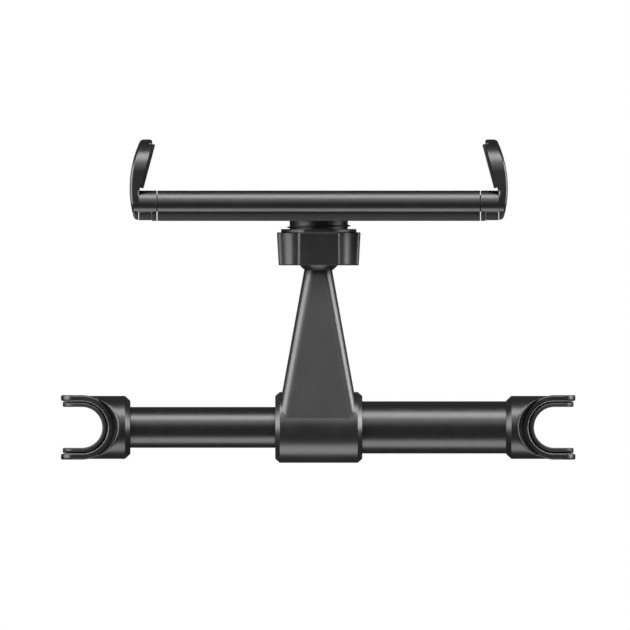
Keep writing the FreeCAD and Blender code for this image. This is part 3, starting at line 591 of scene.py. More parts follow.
@dataclass
class Crossbar:
    """The telescopic bar: the casting with its arm, both tubes and the bush between them."""

    middle: float = MIDDLE
    hub_half: float = 15.25
    hub_radius: float = 12.4
    hub_edge: Point2 = (1.6, 1.4)
    edge_break: float = 0.25
    thick_radius: float = THICK_TUBE[0]
    thick_bore: float = THICK_TUBE[1]
    thin_radius: float = THIN_TUBE[0]
    thin_bore: float = THIN_TUBE[1]
    bush_radius: float = 8.4
    arm_root: float = -2.0
    arm_tip: float = -55.1
    root_half: Point2 = (14.46, 12.15)
    tip_half: Point2 = (4.9, 4.5)
    arm_edge: float = 3.7
    arm_shift: float = 0.2
    ball_place: float = BALL_PLACE
    ball_radius: float = 8.5
    stud_radius: float = 2.5
    stud_end: float = -39.5
    grub_place: float = 74.5
    grub_radius: float = 2.05
    grub_reach: float = 20.0
    bush_breaks: Point2 = (0.2, 0.3)
    slide_fit: float = 0.05
    fit: float = 0.03

    def ball_profile(self, spare: float) -> Loop:
        """Open profile of the ball with its stud, larger by a spare.

        Args:
            spare: how much larger, 0 for the ball itself.

        Returns:
            Points (place on Y, radius) from the ball's front to the stud's end.
        """
        radius = self.ball_radius + spare
        neck = math.degrees(math.asin((self.stud_radius + spare) / radius))
        ball = arc_loop((self.ball_place, 0), radius, 180, neck)
        return [*ball, (self.stud_end + spare, self.stud_radius + spare), (self.stud_end + spare, 0)]

    def hub_arm(self) -> Piece:
        """The casting: a bevelled barrel round the tube and a tapered arm that ends at the ball.

        Returns:
            The finished mesh with its name, finish and body.
        """
        start, end = self.middle - self.hub_half, self.middle + self.hub_half
        long, deep = self.hub_edge
        rim = self.hub_radius - deep
        corners = [
            (start, 0, 0),
            (start, rim, self.edge_break),
            (start + long, self.hub_radius, self.edge_break),
            (end - long, self.hub_radius, self.edge_break),
            (end, rim, self.edge_break),
            (end, 0, 0),
        ]
        casting = lathe(rounded_loop(corners), Axis.BAR)
        combine(casting, self.arm(), Mix.ADD)
        bush_start = extent("outer_tube", 0)[1]
        bore = [
            (start - OVER, 0),
            (start - OVER, self.thick_radius + self.fit),
            (bush_start, self.thick_radius + self.fit),
            (bush_start, self.bush_radius + self.fit),
            (end + OVER, self.bush_radius + self.fit),
            (end + OVER, 0),
        ]
        combine(casting, lathe(bore, Axis.BAR), Mix.CUT)
        seat = lathe(self.ball_profile(self.fit), Axis.BALL, self.middle, closed=False)
        combine(casting, seat, Mix.CUT)
        hole = round_loop((self.grub_place, 0), self.grub_radius)
        combine(casting, prism(hole, from_top, -self.grub_reach, 0), Mix.CUT)
        return Piece(casting, "arm_casting", PAINTED_CASTING, "crossbar", ("hub_arm",))

    def arm(self) -> bpy.types.Object:
        """The tapered arm as a solid, with rounded long edges.

        Returns:
            The solid, which reaches into the barrel.
        """
        rings = []
        for depth, (wide, high) in ((self.arm_root, self.root_half), (self.arm_tip, self.tip_half)):
            loop = box_loop(-wide, -high, wide, high, self.arm_edge)
            rings.append([(self.middle + self.arm_shift + u, depth, v) for u, v in loop])
        return solid(skin(rings))

    def tubes(self) -> List[Piece]:
        """Both tubes, turned over the length that the frame gives them.

        Returns:
            The thick tube and the thin one.
        """
        thick = tube_profile(*extent("outer_tube", 0), self.thick_bore, self.thick_radius, self.edge_break)
        thin = tube_profile(*extent("inner_tube", 0), self.thin_bore, self.thin_radius, self.edge_break)
        return [
            Piece(lathe(thick, Axis.BAR), "thick_tube", ANODISED_TUBE, "crossbar", ("outer_tube",)),
            Piece(lathe(thin, Axis.BAR), "thin_tube", ANODISED_TUBE, "sliding_bar", ("inner_tube",)),
        ]

    def bush(self) -> Piece:
        """The flanged bush on which the thin tube slides.

        Returns:
            The finished mesh with its name, finish and body.
        """
        start, end = extent("guide_bush", 0)
        head = extent("outer_tube", 0)[1]
        inner = self.thin_radius + self.slide_fit
        outer_break, inner_break = self.bush_breaks
        corners = [
            (start, inner, 0),
            (start, self.thick_bore - self.fit, 0),
            (head + self.fit, self.thick_bore - self.fit, 0),
            (head + self.fit, self.bush_radius, 0),
            (end, self.bush_radius, outer_break),
            (end, inner, inner_break),
        ]
        thing = lathe(rounded_loop(corners), Axis.BAR)
        return Piece(thing, "slide_bush", INNER_NYLON, "crossbar", ("guide_bush",))

    def ball(self) -> Piece:
        """The ball on its stud."""
        thing = lathe(self.ball_profile(0), Axis.BALL, self.middle, closed=False)
        return Piece(thing, "ball", BALL_SATIN, "crossbar", ("ball_stud",))

    def build(self) -> List[Piece]:
        """All pieces of the bar."""
        return [self.hub_arm(), *self.tubes(), self.bush(), self.ball()]


@dataclass
class Fork:
    """An end fitting: a collar on the tube and an open U with its rubber liner."""

    name: str
    body: str
    tube_radius: float
    spigot_radius: float
    sliding: bool = False
    post_span: float = 165.4
    tip: float = 7.35
    half_width: float = 11.3
    half_height: float = 4.5
    tip_flat: float = 0.2
    tip_corner: float = 0.6
    tip_share: float = 0.47
    edge: float = 0.65
    slot_radius: float = 9.25
    slot_edge: float = 0.35
    arc_steps: int = 60
    collar_start: float = 1.7
    collar_radius: float = 11.05
    collar_end: float = 17.0
    collar_face: float = 9.3
    collar_chamfer: float = 1.9
    tube_seat: float = 13.0
    spigot_end: float = 23.0
    scoop_top: float = 10.9
    scoop_shift: float = 1.7
    scoop_rise: float = 0.5
    scoop_over: float = 2.0
    cut_reach: float = 20.0
    cell: float = 0.2
    rounds: int = 3
    wall_rounds: int = 40
    wall_reach: float = 13.8
    liner_radius: float = 7.15
    liner_face: float = 8.66
    liner_tip: float = 6.7
    liner_height: float = 4.3
    rib_height: float = 1.4
    liner_edge: float = 0.5
    liner_nose: float = 0.5
    nose_share: float = 0.5
    liner_turns: int = 40
    fit: float = 0.04

    def placed(self, thing: bpy.types.Object) -> bpy.types.Object:
        """Turns a solid to the other end of the bar where this is the sliding fork."""
        return half_turn(thing, "Z", self.post_span / 2) if self.sliding else thing

    def tip_height(self, reach: float, half: float) -> float:
        """Half height of a prong at a distance from its tip, which is a full round.

        Args:
            reach: the distance from the tip.
            half: the half height away from the tip.

        Returns:
            The half height there.
        """
        return half - rounding(reach, half - self.tip_flat)

    def plate(self) -> bpy.types.Object:
        """The open U, built level by level with round long edges and round tips.

        Returns:
            The solid, in the place of the fixed fork.
        """
        rings = []
        for step in range(-15, 16):
            level = self.half_height * math.sin(math.radians(6 * step))
            below = self.half_height - abs(level)
            wide = self.half_width - rounding(below, self.edge)
            bore = self.slot_radius + rounding(below, self.slot_edge)
            tip = rounding(below, self.half_height - self.tip_flat) - self.tip
            corner = min(self.tip_corner, self.tip_share * (wide - bore))
            upper = [(0, bore, 0), (tip, bore, corner), (tip, wide, corner), (0, wide, 0)]
            lower = [(0, -wide, 0), (tip, -wide, corner), (tip, -bore, corner), (0, -bore, 0)]
            loop = [*rounded_loop(upper), *arc_loop((0, 0), wide, 90, -90, self.arc_steps)[1:-1]]
            loop += [*rounded_loop(lower), *arc_loop((0, 0), bore, -90, 90, self.arc_steps)[1:-1]]
            rings.append([(u, v, level) for u, v in loop])
        return solid(skin(rings))

    def collar(self) -> bpy.types.Object:
        """The collar with its tube seat and the spigot inside the tube.

        Returns:
            The solid, in the place of the fixed fork.
        """
        tube, spigot = self.tube_radius + self.fit, self.spigot_radius - self.fit
        profile = [
            (self.collar_start, 0),
            (self.collar_start, self.collar_radius),
            (self.collar_end - self.collar_chamfer, self.collar_radius),
            (self.collar_end, self.collar_face),
            (self.collar_end, tube),
            (self.tube_seat, tube),
            (self.tube_seat, spigot),
            (self.spigot_end, spigot),
            (self.spigot_end, 0),
        ]
        return lathe(profile, Axis.BAR, closed=False)

    def scoop(self, side: int) -> bpy.types.Object:
        """The slanted hollow that frees one face of the U from the collar.

        Args:
            side: 1 for the upper face, -1 for the lower one.

        Returns:
            The solid that is cut away.
        """
        start = self.half_height - self.edge
        rise = self.collar_radius + self.scoop_rise - start
        share = (rise + self.scoop_over) / rise
        rings = []
        for part in (0.0, share):
            radius = self.half_width + (self.scoop_top - self.half_width) * part
            loop = arc_loop((self.scoop_shift * part, 0), radius, 0, 357)
            rings.append([(u, v, side * (start + rise * part)) for u, v in loop])
        return solid(skin(rings))

    def fork(self) -> Piece:
        """The whole fitting: the softly rounded collar and the open U.

        Returns:
            The finished mesh with its name, finish and body.
        """
        thing = self.collar()
        for side in (1, -1):
            combine(thing, self.scoop(side), Mix.CUT)
        radius = self.slot_radius + 2 * self.slot_edge
        slot = [(-OVER, radius), *arc_loop((0, 0), radius, 90, -90), (-OVER, -radius)]
        combine(thing, prism(slot, from_top, -self.cut_reach, self.cut_reach), Mix.CUT)
        softened(thing, self.cell, self.rounds)
        self.ease(thing)
        combine(thing, self.plate(), Mix.ADD)
        return Piece(self.placed(thing), f"{self.name}_fitting", FORK_PAINT, self.body, (self.name,))

    def ease(self, thing: bpy.types.Object) -> None:
        """Smooths the hollows' rims further, where the collar falls away to the U.

        Args:
            thing: the collar after its first smoothing.
        """
        shape = bmesh.new()
        shape.from_mesh(thing.data)
        rims = [vert for vert in shape.verts if vert.co.x < self.wall_reach]
        axes = {"use_axis_x": True, "use_axis_y": True, "use_axis_z": True}
        for _ in range(self.wall_rounds):
            bmesh.ops.smooth_vert(shape, verts=rims, factor=SMOOTHING, **axes)
        shape.to_mesh(thing.data)
        shape.free()

    def liner(self) -> Piece:
        """The rubber liner, its rib seated in the slot, swept along the U.

        Returns:
            The finished mesh with its name, finish and body.
        """
        thick = self.liner_face - self.liner_radius
        seat = self.slot_radius - self.fit
        section = rounded_loop([
            (self.liner_radius, -self.liner_height, self.liner_edge),
            (self.liner_face, -self.liner_height, self.liner_edge),
            (self.liner_face, -self.rib_height, 0),
            (seat, -self.rib_height, 0),
            (seat, self.rib_height, 0),
            (self.liner_face, self.rib_height, 0),
            (self.liner_face, self.liner_height, self.liner_edge),
            (self.liner_radius, self.liner_height, self.liner_edge),
        ])
        centre = self.liner_radius + thick / 2
        reaches = [self.liner_height * (1 - math.cos(math.radians(9 * step))) for step in range(11)]
        straight = [reach for reach in reaches if reach < self.liner_tip]
        stations = [(reach - self.liner_tip, 1, reach) for reach in straight]
        rings = []
        for place, side, reach in stations:
            rings.append(self.liner_ring(section, centre, Vector((place, 0)), Vector((0, side)), reach))
        for step in range(self.liner_turns + 1):
            angle = math.radians(90 - 180 * step / self.liner_turns)
            out = Vector((math.cos(angle), math.sin(angle)))
            rings.append(self.liner_ring(section, centre, Vector((0, 0)), out, self.liner_tip))
        for place, side, reach in reversed(stations):
            rings.append(self.liner_ring(section, centre, Vector((place, 0)), Vector((0, -side)), reach))
        thing = solid(skin(rings))
        return Piece(self.placed(thing), f"{self.name}_liner", LINER_RUBBER, self.body, (f"{self.name}_pad",))

    def liner_ring(self, section: Loop, centre: float, origin: Vector, out: Vector, reach: float) -> Ring:
        """The liner's section at one place of its path.

        Args:
            section: points (distance from the path's centre, height).
            centre: the middle of the wall, towards which it narrows at the tip.
            origin: the path's centre there.
            out: the direction that points out of the U.
            reach: the distance from the liner's tip along the path.

        Returns:
            The section's points in the frame of the fixed fork.
        """
        tall = self.tip_height(reach, self.liner_height) / self.liner_height
        slim = 1.0
        if reach < self.liner_nose:
            full = math.sqrt(1 - (1 - reach / self.liner_nose) ** 2)
            slim = self.nose_share + (1 - self.nose_share) * full
        ring = []
        for off, high in section:
            spot = origin + out * (centre + (off - centre) * slim)
            ring.append((spot.x, spot.y, high * tall))
        return ring

    def build(self) -> List[Piece]:
        """The fitting and its liner."""
        return [self.fork(), self.liner()]


@dataclass
class BallJoint:
    """The clamp nut and the slotted, threaded socket on the back of the cradle."""

    middle: float = MIDDLE
    ball: float = BALL_PLACE
    nut_front: float = -68.3
    nut_back: float = -56.7
    front_radius: float = 14.65
    back_radius: float = 14.05
    ring_front: float = -69.45
    ring_radius: float = 13.2
    rim: float = 0.4
    ring_break: float = 0.2
    mouth_radius: float = 8.6
    mouth_break: float = 0.3
    lip_radius: float = 8.65
    lip_depths: Point3 = (3.8, 2.7, 1.6)
    neck_fit: float = 0.05
    flute_radius: float = 6.4
    flute_place: float = 14.0
    lobe_round: float = 1.7
    lobe_steps: int = 6
    flute_steps: int = 14
    neck_radius: float = 10.2
    cup_radius: float = 8.55
    pocket_radius: float = 9.95
    pocket_angle: float = 66.0
    flange_radius: float = 13.5
    flange_back: float = -73.8
    socket_front: float = SEAM
    finger_tip: float = -60.5
    finger_tip_radius: float = 9.6
    finger_taper: float = 1.7
    finger_slot: float = 1.9
    slot_floor: float = -70.8
    slot_depth: float = 1.2
    slot_through: float = -69.3
    crest_radius: float = 11.25
    thread_pitch: float = 1.04
    thread_middle: float = -70.3
    thread_half: float = 0.4
    thread_crest: float = 0.08
    thread_root: float = 0.4
    thread_steps: int = 14
    thread_reach: float = 44.0

    def outline(self, half: float, inset: float, level: float) -> Ring:
        """The nut's outline at a level: four broad lobes with a flute between each two.

        Args:
            half: how far the lobes' flat tops lie from the axis there.
            inset: how far the outline is drawn in, for the rounded rims.
            level: the place along the ball's axis.

        Returns:
            Points round the axis.
        """
        place, blend = self.flute_place, self.lobe_round - inset
        flute, top = self.flute_radius + inset, half - inset
        rise = place - top + blend
        near = place - math.sqrt((flute + blend) ** 2 - rise ** 2)
        turn = math.degrees(math.atan2(rise, place - near))
        lobe = arc_loop((near, top - blend), blend, 90, turn, self.lobe_steps)
        hollow = arc_loop((place, place), flute, 180 + turn, 270 - turn, self.flute_steps)[1:-1]
        corner = [(0.0, top), *lobe, *hollow, *[(v, u) for u, v in reversed(lobe)]]
        ring = []
        for quarter in range(4):
            cos, sin = round(math.cos(math.pi * quarter / 2)), round(math.sin(math.pi * quarter / 2))
            ring += [(self.middle + u * cos + v * sin, level, v * cos - u * sin) for u, v in corner]
        return ring

    def round_ring(self, radius: float, level: float) -> Ring:
        """A plain circle with as many points as the nut's outline.

        Args:
            radius: the circle's radius.
            level: the place along the ball's axis.

        Returns:
            The points, in the directions of the outline's.
        """
        ring = []
        for u, _, v in self.outline(self.front_radius, 0, level):
            scale = radius / math.hypot(u - self.middle, v)
            ring.append((self.middle + (u - self.middle) * scale, level, v * scale))
        return ring

    def nut(self) -> Piece:
        """The four-lobed clamp nut, hollow for the neck and the ball.

        Returns:
            The finished mesh with its name, finish and body.
        """
        inner = self.neck_radius + self.neck_fit
        rings = [
            self.round_ring(inner, self.ring_front),
            self.round_ring(self.ring_radius - self.ring_break, self.ring_front),
            self.round_ring(self.ring_radius, self.ring_front + self.ring_break),
            self.round_ring(self.ring_radius, self.nut_front),
        ]
        turns = [math.radians(15 * step) for step in range(7)]
        for turn in turns:
            inset = self.rim * (1 - math.sin(turn))
            level = self.nut_front + self.rim * (1 - math.cos(turn))
            rings.append(self.outline(self.front_radius, inset, level))
        for turn in reversed(turns):
            inset = self.rim * (1 - math.sin(turn))
            level = self.nut_back - self.rim * (1 - math.cos(turn))
            rings.append(self.outline(self.back_radius, inset, level))
        rings.append(self.round_ring(self.mouth_radius + self.mouth_break, self.nut_back))
        rings.append(self.round_ring(self.mouth_radius, self.nut_back - self.mouth_break))
        for depth in self.lip_depths:
            rings.append(self.round_ring(math.sqrt(self.lip_radius ** 2 - depth ** 2), self.ball + depth))
        seat = self.ball + self.lip_depths[-1]
        rings.append(self.round_ring(self.finger_tip_radius + self.neck_fit, seat))
        rings.append(self.round_ring(inner, seat - self.finger_taper))
        return Piece(solid(skin(rings, closed=True)), "clamp_knob", NUT_PLASTIC, "nut", ("clamp_nut",))

    def thread(self, start: float, end: float) -> bpy.types.Object:
        """One stretch of the thread's ridge between two angles, in degrees.

        Args:
            start: the angle where the stretch starts.
            end: the angle where it ends.

        Returns:
            The solid, sunk a little into the neck.
        """
        root = self.neck_radius - self.thread_root
        section = [
            (root, -self.thread_half),
            (self.neck_radius, -self.thread_half),
            (self.crest_radius, -self.thread_crest),
            (self.crest_radius, self.thread_crest),
            (self.neck_radius, self.thread_half),
            (root, self.thread_half),
        ]
        rings = []
        for step in range(self.thread_steps + 1):
            angle = math.radians(start + (end - start) * step / self.thread_steps)
            level = self.thread_middle + self.thread_pitch * (0.5 - angle / math.pi) / 2
            ring = []
            for radius, off in section:
                ring.append((self.middle + radius * math.cos(angle), level + off, radius * math.sin(angle)))
            rings.append(ring)
        return solid(skin(rings))

    def socket(self) -> Piece:
        """The flanged neck with its four fingers and the thread in front of the nut.

        Returns:
            The finished mesh with its name, finish and body.
        """
        cup = self.cup_radius
        grip = math.degrees(math.asin((self.finger_tip - self.ball) / cup))
        pocket = self.pocket_angle
        profile = [
            (self.socket_front, 0),
            (self.socket_front, self.flange_radius),
            (self.flange_back, self.flange_radius),
            (self.flange_back, self.neck_radius),
            (self.finger_tip - self.finger_taper, self.neck_radius),
            (self.finger_tip, self.finger_tip_radius),
            *arc_loop((self.ball, 0), cup, 90 - grip, 180 - pocket),
            *arc_loop((self.ball, 0), self.pocket_radius, 180 - pocket, 180),
        ]
        thing = lathe(profile, Axis.BALL, self.middle, closed=False)
        for quarter in range(-1, 3):
            centre, far = 45 + 90 * quarter, self.thread_reach
            combine(thing, self.thread(centre - far, centre + far), Mix.ADD)
        reach = self.crest_radius + OVER
        shallow = self.neck_radius - self.slot_depth
        for low, high in ((-reach, -shallow), (shallow, reach)):
            self.slots(thing, low, high, self.slot_floor, self.slot_through)
        self.slots(thing, -reach, reach, self.slot_through, self.finger_tip + OVER)
        return Piece(thing, "ball_neck", NUT_PLASTIC, "cradle", ("ball_socket",))

    def slots(self, thing: bpy.types.Object, low: float, high: float, start: float, end: float) -> None:
        """Cuts the two crossed slots between the fingers over one stretch of the neck.

        Args:
            thing: the neck.
            low: where the cut starts, across from the axis.
            high: where it ends.
            start: the place on Y where the stretch starts.
            end: where it ends.
        """
        half = self.finger_slot / 2
        upright = box_loop(self.middle - half, start, self.middle + half, end)
        level = box_loop(self.middle + low, start, self.middle + high, end)
        combine(thing, prism(upright, from_top, low, high), Mix.CUT)
        combine(thing, prism(level, from_top, -half, half), Mix.CUT)

    def build(self) -> List[Piece]:
        """The nut and the neck."""
        return [self.nut(), self.socket()]


@dataclass
class Cradle:
    """The body of the cradle: front shell, back cover, its screws and the soft face pads."""

    middle: float = MIDDLE
    half_length: float = 56.5
    half_height: float = HALF_HEIGHT
    front: float = FRONT
    seam: float = SEAM
    back: float = BACK
    crest: float = CREST
    front_wall: float = 1.4
    cavity_half: float = 13.0
    end_break: float = 0.1
    cover_break: float = 0.25
    neck_hole: float = 10.3
    flange_hole: float = 13.55
    flange_depth: float = 1.6
    flat_half: float = FLAT_HALF
    screw_places: Point2 = (44.0, 14.6)
    screw_radius: float = 1.4
    screw_depth: float = 0.8
    pad_reach: Point2 = (12.0, 50.0)
    pad_half: float = 13.0
    pad_corner: float = 3.0
    pad_depth: float = 0.6
    pad_break: float = 0.15
    pad_fit: float = 0.08
    cover_corner: float = 0.4
    section_steps: int = 24
    seat_fit: float = 0.1
    seat_sink: float = 0.2
    shank_radius: float = 0.75
    shank_reach: float = 3.0
    head_sink: float = 0.05
    head_round: float = 0.35
    cross_arm: float = 0.85
    cross_half: float = 0.17
    cross_depth: float = 0.45

    def section(self) -> Loop:
        """End view of the shell: rounded long sides, open at the back for the jaws.

        Returns:
            The points (place on Y, height).
        """
        steps, long = self.section_steps, self.seam - self.front
        depths = [self.front + long * step / steps for step in range(steps + 1)]
        upper = [(depth, self.half_height - fall(depth, self.crest)) for depth in depths]
        floor = self.front + self.front_wall
        room = [(self.seam, self.cavity_half), (floor, self.cavity_half)]
        room += [(floor, -self.cavity_half), (self.seam, -self.cavity_half)]
        return [*upper, *room, *[(depth, -high) for depth, high in reversed(upper)]]

    def pad_loop(self, side: int, spare: float = 0.0) -> Loop:
        """Outline of a face pad beside the middle, in front view.

        Args:
            side: 1 for the pad towards the sliding fork, -1 for the other.
            spare: how much larger, for the pad's seat.

        Returns:
            The points of the outline.
        """
        near, far = self.pad_reach
        left, right = sorted((self.middle + side * near, self.middle + side * far))
        half = self.pad_half + spare
        return box_loop(left - spare, -half, right + spare, half, self.pad_corner)

    def shell(self) -> Piece:
        """The front shell.

        Returns:
            The finished mesh with its name, finish and body.
        """
        low, high = self.middle - self.half_length, self.middle + self.half_length
        thing = prism(self.section(), from_side, low, high)
        bevelled(thing, self.end_break, 2)
        for side in (1, -1):
            loop = self.pad_loop(side, self.pad_fit)
            combine(thing, prism(loop, from_front, self.front - OVER, self.front + self.pad_depth), Mix.CUT)
        return Piece(thing, "cradle_shell", CRADLE_PLASTIC, "cradle", ("front_shell",))

    def cover(self) -> Piece:
        """The back cover, with the neck's hole and sunk screw seats.

        Returns:
            The finished mesh with its name, finish and body.
        """
        low, high = self.middle - self.half_length, self.middle + self.half_length
        half = self.flat_half
        thing = prism(box_loop(low, -half, high, half, self.cover_corner), from_front, self.seam, self.back)
        bevelled(thing, self.cover_break, 2)
        step = self.seam + self.flange_depth
        hole = [
            (self.seam - OVER, 0),
            (self.seam - OVER, self.flange_hole),
            (step, self.flange_hole),
            (step, self.neck_hole),
            (self.back + OVER, self.neck_hole),
            (self.back + OVER, 0),
        ]
        combine(thing, lathe(hole, Axis.BALL, self.middle), Mix.CUT)
        floor = self.back - self.screw_depth - self.seat_sink
        for place in self.screw_spots():
            loop = round_loop(place, self.screw_radius + self.seat_fit)
            combine(thing, prism(loop, from_front, floor, self.back + OVER), Mix.CUT)
        # The cover's lighter grey is painted sheen.
        return Piece(thing, "cradle_cover", PAINTED_SHEEN_PLASTIC, "cradle", ("back_cover",))

    def screw_spots(self) -> List[Point2]:
        """Places of the four screws in front view."""
        across, up = self.screw_places
        return [(self.middle + a, b) for a in (across, -across) for b in (up, -up)]

    def screws(self) -> Piece:
        """The heads and shanks of the four cover screws, each with a cross recess.

        Returns:
            The finished mesh with its name, finish and body.
        """
        shape = bmesh.new()
        for across, up in self.screw_spots():
            thing = self.screw(across, up)
            shape.from_mesh(thing.data)
            bpy.data.objects.remove(thing)
        return Piece(solid(shape), "cross_screws", BLACK_STEEL, "cradle", ("cover_screws",))

    def screw(self, across: float, up: float) -> bpy.types.Object:
        """One pan screw at a place in front view.

        Args:
            across: where its axis lies on X.
            up: where its axis lies on Z.

        Returns:
            The solid.
        """
        top, under = self.back - self.head_sink, self.back - self.screw_depth
        end, turn = self.seam - self.shank_reach, self.head_round
        profile = [
            (end, 0),
            (end, self.shank_radius),
            (under, self.shank_radius),
            (under, self.screw_radius),
            *arc_loop((top - turn, self.screw_radius - turn), turn, 90, 0),
            (top, 0),
        ]
        thing = lathe(profile, Axis.BALL, 0.0, closed=False)
        arm, half = self.cross_arm, self.cross_half
        for wide, high in ((arm, half), (half, arm)):
            loop = box_loop(-wide, -high, wide, high)
            combine(thing, prism(loop, from_front, top - self.cross_depth, top + OVER), Mix.CUT)
        thing.data.transform(Matrix.Translation((across, 0, up)))
        return thing

    def face_pad(self, side: int, node: str) -> Piece:
        """One thin soft pad, flush in the front of the shell.

        Args:
            side: 1 for the pad towards the sliding fork, -1 for the other.
            node: the pad's name in the frame.

        Returns:
            The finished mesh with its name, finish and body.
        """
        thing = prism(self.pad_loop(side), from_front, self.front, self.front + self.pad_depth)
        bevelled(thing, self.pad_break, 2)
        return Piece(thing, f"{node}_soft", LINER_RUBBER, "cradle", (node,))

    def build(self) -> List[Piece]:
        """All pieces of the cradle's body."""
        pads = [self.face_pad(1, "face_pad_a"), self.face_pad(-1, "face_pad_b")]
        return [self.shell(), self.cover(), self.screws(), *pads]


@dataclass
class Jaw:
    """A hooked jaw with its rubber lining, its back block and the tongue with the rack."""

    name: str
    body: str
    turned: bool = False
    middle: float = MIDDLE
    sleeve: float = 56.72
    front: float = FRONT
    seam: float = SEAM
    back: float = BACK
    half_height: float = HALF_HEIGHT
    flat_half: float = FLAT_HALF
    crest: float = CREST
    rise: float = 17.9
    heel: float = 62.75
    lean: float = 15.0
    arc_centre: Point2 = (27.3, -83.8)
    arc_radius: float = 38.9
    tip_inner: float = 0.9
    tip_outer: float = 1.6
    corner: float = 11.0
    edge: float = 1.15
    edge_share: float = 0.4
    edge_growth: float = 4.0
    edge_least: float = 0.1
    end_break: float = 0.1
    hook_steps: int = 12
    weld: float = 2e-4
    seam_step: float = 1e-4
    lip: float = 63.1
    lip_end: float = -72.6
    lip_corner: float = 1.3
    foot: float = 58.45
    foot_over: float = 0.5
    foot_inset: float = 0.01
    block_gap: float = 0.18
    block_end: float = -72.5
    pad_low: float = 1.0
    pad_high: float = 16.4
    pad_sink: float = 0.9
    pad_proud: float = 1.2
    pad_half: float = 15.0
    pad_corner: float = 8.0
    shoulder: float = 34.0
    rack_end: float = -30.0
    arm_top: float = 8.6
    cavity: float = 12.9
    rack_root: float = 6.2
    rack_tip: float = 4.2
    teeth: int = 10
    tooth_play: float = 0.125
    tooth_angle: float = 20.0
    dedendum: float = 1.2
    addendum: float = 0.8
    tongue: Point2 = (-81.4, -75.5)
    small_break: float = 0.2
    lining_break: float = 0.25
    seat_fit: float = 0.02
    seat_over: float = 1.5

    def inner(self, depth: float) -> float:
        """Across from the middle to the hook's inner face at a place on Y."""
        return self.heel - max(self.front - depth, 0) * math.tan(math.radians(self.lean))

    def near(self, depth: float) -> float:
        """The inner face with the round that leads over to the hook's tip.

        Args:
            depth: the place on Y.

        Returns:
            The distance from the cradle's middle.
        """
        tip, radius = self.front - self.rise, self.tip_inner
        bend = radius / math.tan(math.radians(90 - self.lean) / 2)
        if depth - tip >= bend * math.cos(math.radians(self.lean)):
            return self.inner(depth)
        off = depth - tip - radius
        return self.inner(tip) + bend - math.sqrt(radius ** 2 - off ** 2)

    def outer(self, depth: float) -> float:
        """Across from the middle to the outer arc, with the round that leads over to the tip.

        Args:
            depth: the place on Y.

        Returns:
            The distance from the cradle's middle.
        """
        across, level = self.arc_centre
        place = self.front - self.rise + self.tip_outer
        inside = self.arc_radius - self.tip_outer
        run = math.sqrt(inside ** 2 - (place - level) ** 2)
        if depth >= level + (place - level) * self.arc_radius / inside:
            return across + math.sqrt(self.arc_radius ** 2 - (depth - level) ** 2)
        return across + run + math.sqrt(self.tip_outer ** 2 - (depth - place) ** 2)

    def ring(self, depth: float, start: float, step: float) -> Ring:
        """The jaw's section at a place on Y: the bar's low part and the hook's tall part.

        Args:
            depth: the place on Y.
            start: where the bar's part starts, across from the middle.
            step: how far the bar's part lies below the hook's.

        Returns:
            The points of the section, always as many.
        """
        tip = self.front - self.rise
        high = self.half_height - rounding(depth - tip, self.corner)
        if depth > self.crest:
            high -= fall(min(depth, self.seam), self.crest)
        low = high - step
        near, far = self.near(depth), self.outer(depth)
        if depth > self.seam:
            high = low = self.flat_half
            near = self.lip
            far -= rounding(self.lip_end - depth, self.lip_corner)
        room = self.edge_growth * max(self.lip_end - depth, 0) + self.edge_least
        edge = min(self.edge, self.edge_share * (far - near), room)
        blend = min(edge, step)
        side = min(self.end_break, near - start)
        upper = [(start, low - side), (start + side, low), (near, low)]
        upper += corner_arc((near, high), blend, 1)
        upper += corner_arc((far, high), edge, -1)
        points = [(u, v) for u, v in upper] + [(u, -v) for u, v in reversed(upper)]
        return [(u, depth, v) for u, v in points]

    def hook(self) -> bpy.types.Object:
        """Bar, hook and outer lip in one skin, from the hook's tip to the lip's end.

        Returns:
            The solid, before its foot and tongue are added.
        """
        tip, steps = self.front - self.rise, self.hook_steps
        quarter = [math.radians(90 * step / steps) for step in range(steps + 1)]
        reaches = {size * (1 - math.cos(turn)) for turn in quarter for size in (self.tip_outer, self.corner)}
        reaches |= {self.rise * share / 15 for share in range(10, 16)}
        rings = [self.ring(tip + reach, self.near(tip + reach), 0) for reach in sorted(reaches)]
        for part in range(steps + 1):
            depth = self.front + (self.crest - self.front) * part / steps
            rings.append(self.ring(depth, self.sleeve, fall(depth, self.crest)))
        for part in range(1, steps + 1):
            depth = self.crest + (self.seam - self.crest) * part / steps
            rings.append(self.ring(depth, self.sleeve, 0))
        rings.append(self.ring(self.seam + self.seam_step, self.lip, 0))
        for turn in quarter:
            rings.append(self.ring(self.lip_end - self.lip_corner * (1 - math.sin(turn)), self.lip, 0))
        shape = skin(rings)
        bmesh.ops.remove_doubles(shape, verts=shape.verts, dist=self.weld)
        bmesh.ops.dissolve_degenerate(shape, edges=shape.edges, dist=self.seam_step)
        return solid(shape)

    def foot_part(self) -> bpy.types.Object:
        """The inner foot behind the seam, beside the back block.

        Returns:
            The solid.
        """
        high = self.flat_half - self.foot_inset
        loop = box_loop(self.sleeve + self.seat_fit, self.seam - self.foot_over, self.foot, self.back)
        return bevelled(prism(loop, from_top, -high, high), self.small_break, 2)

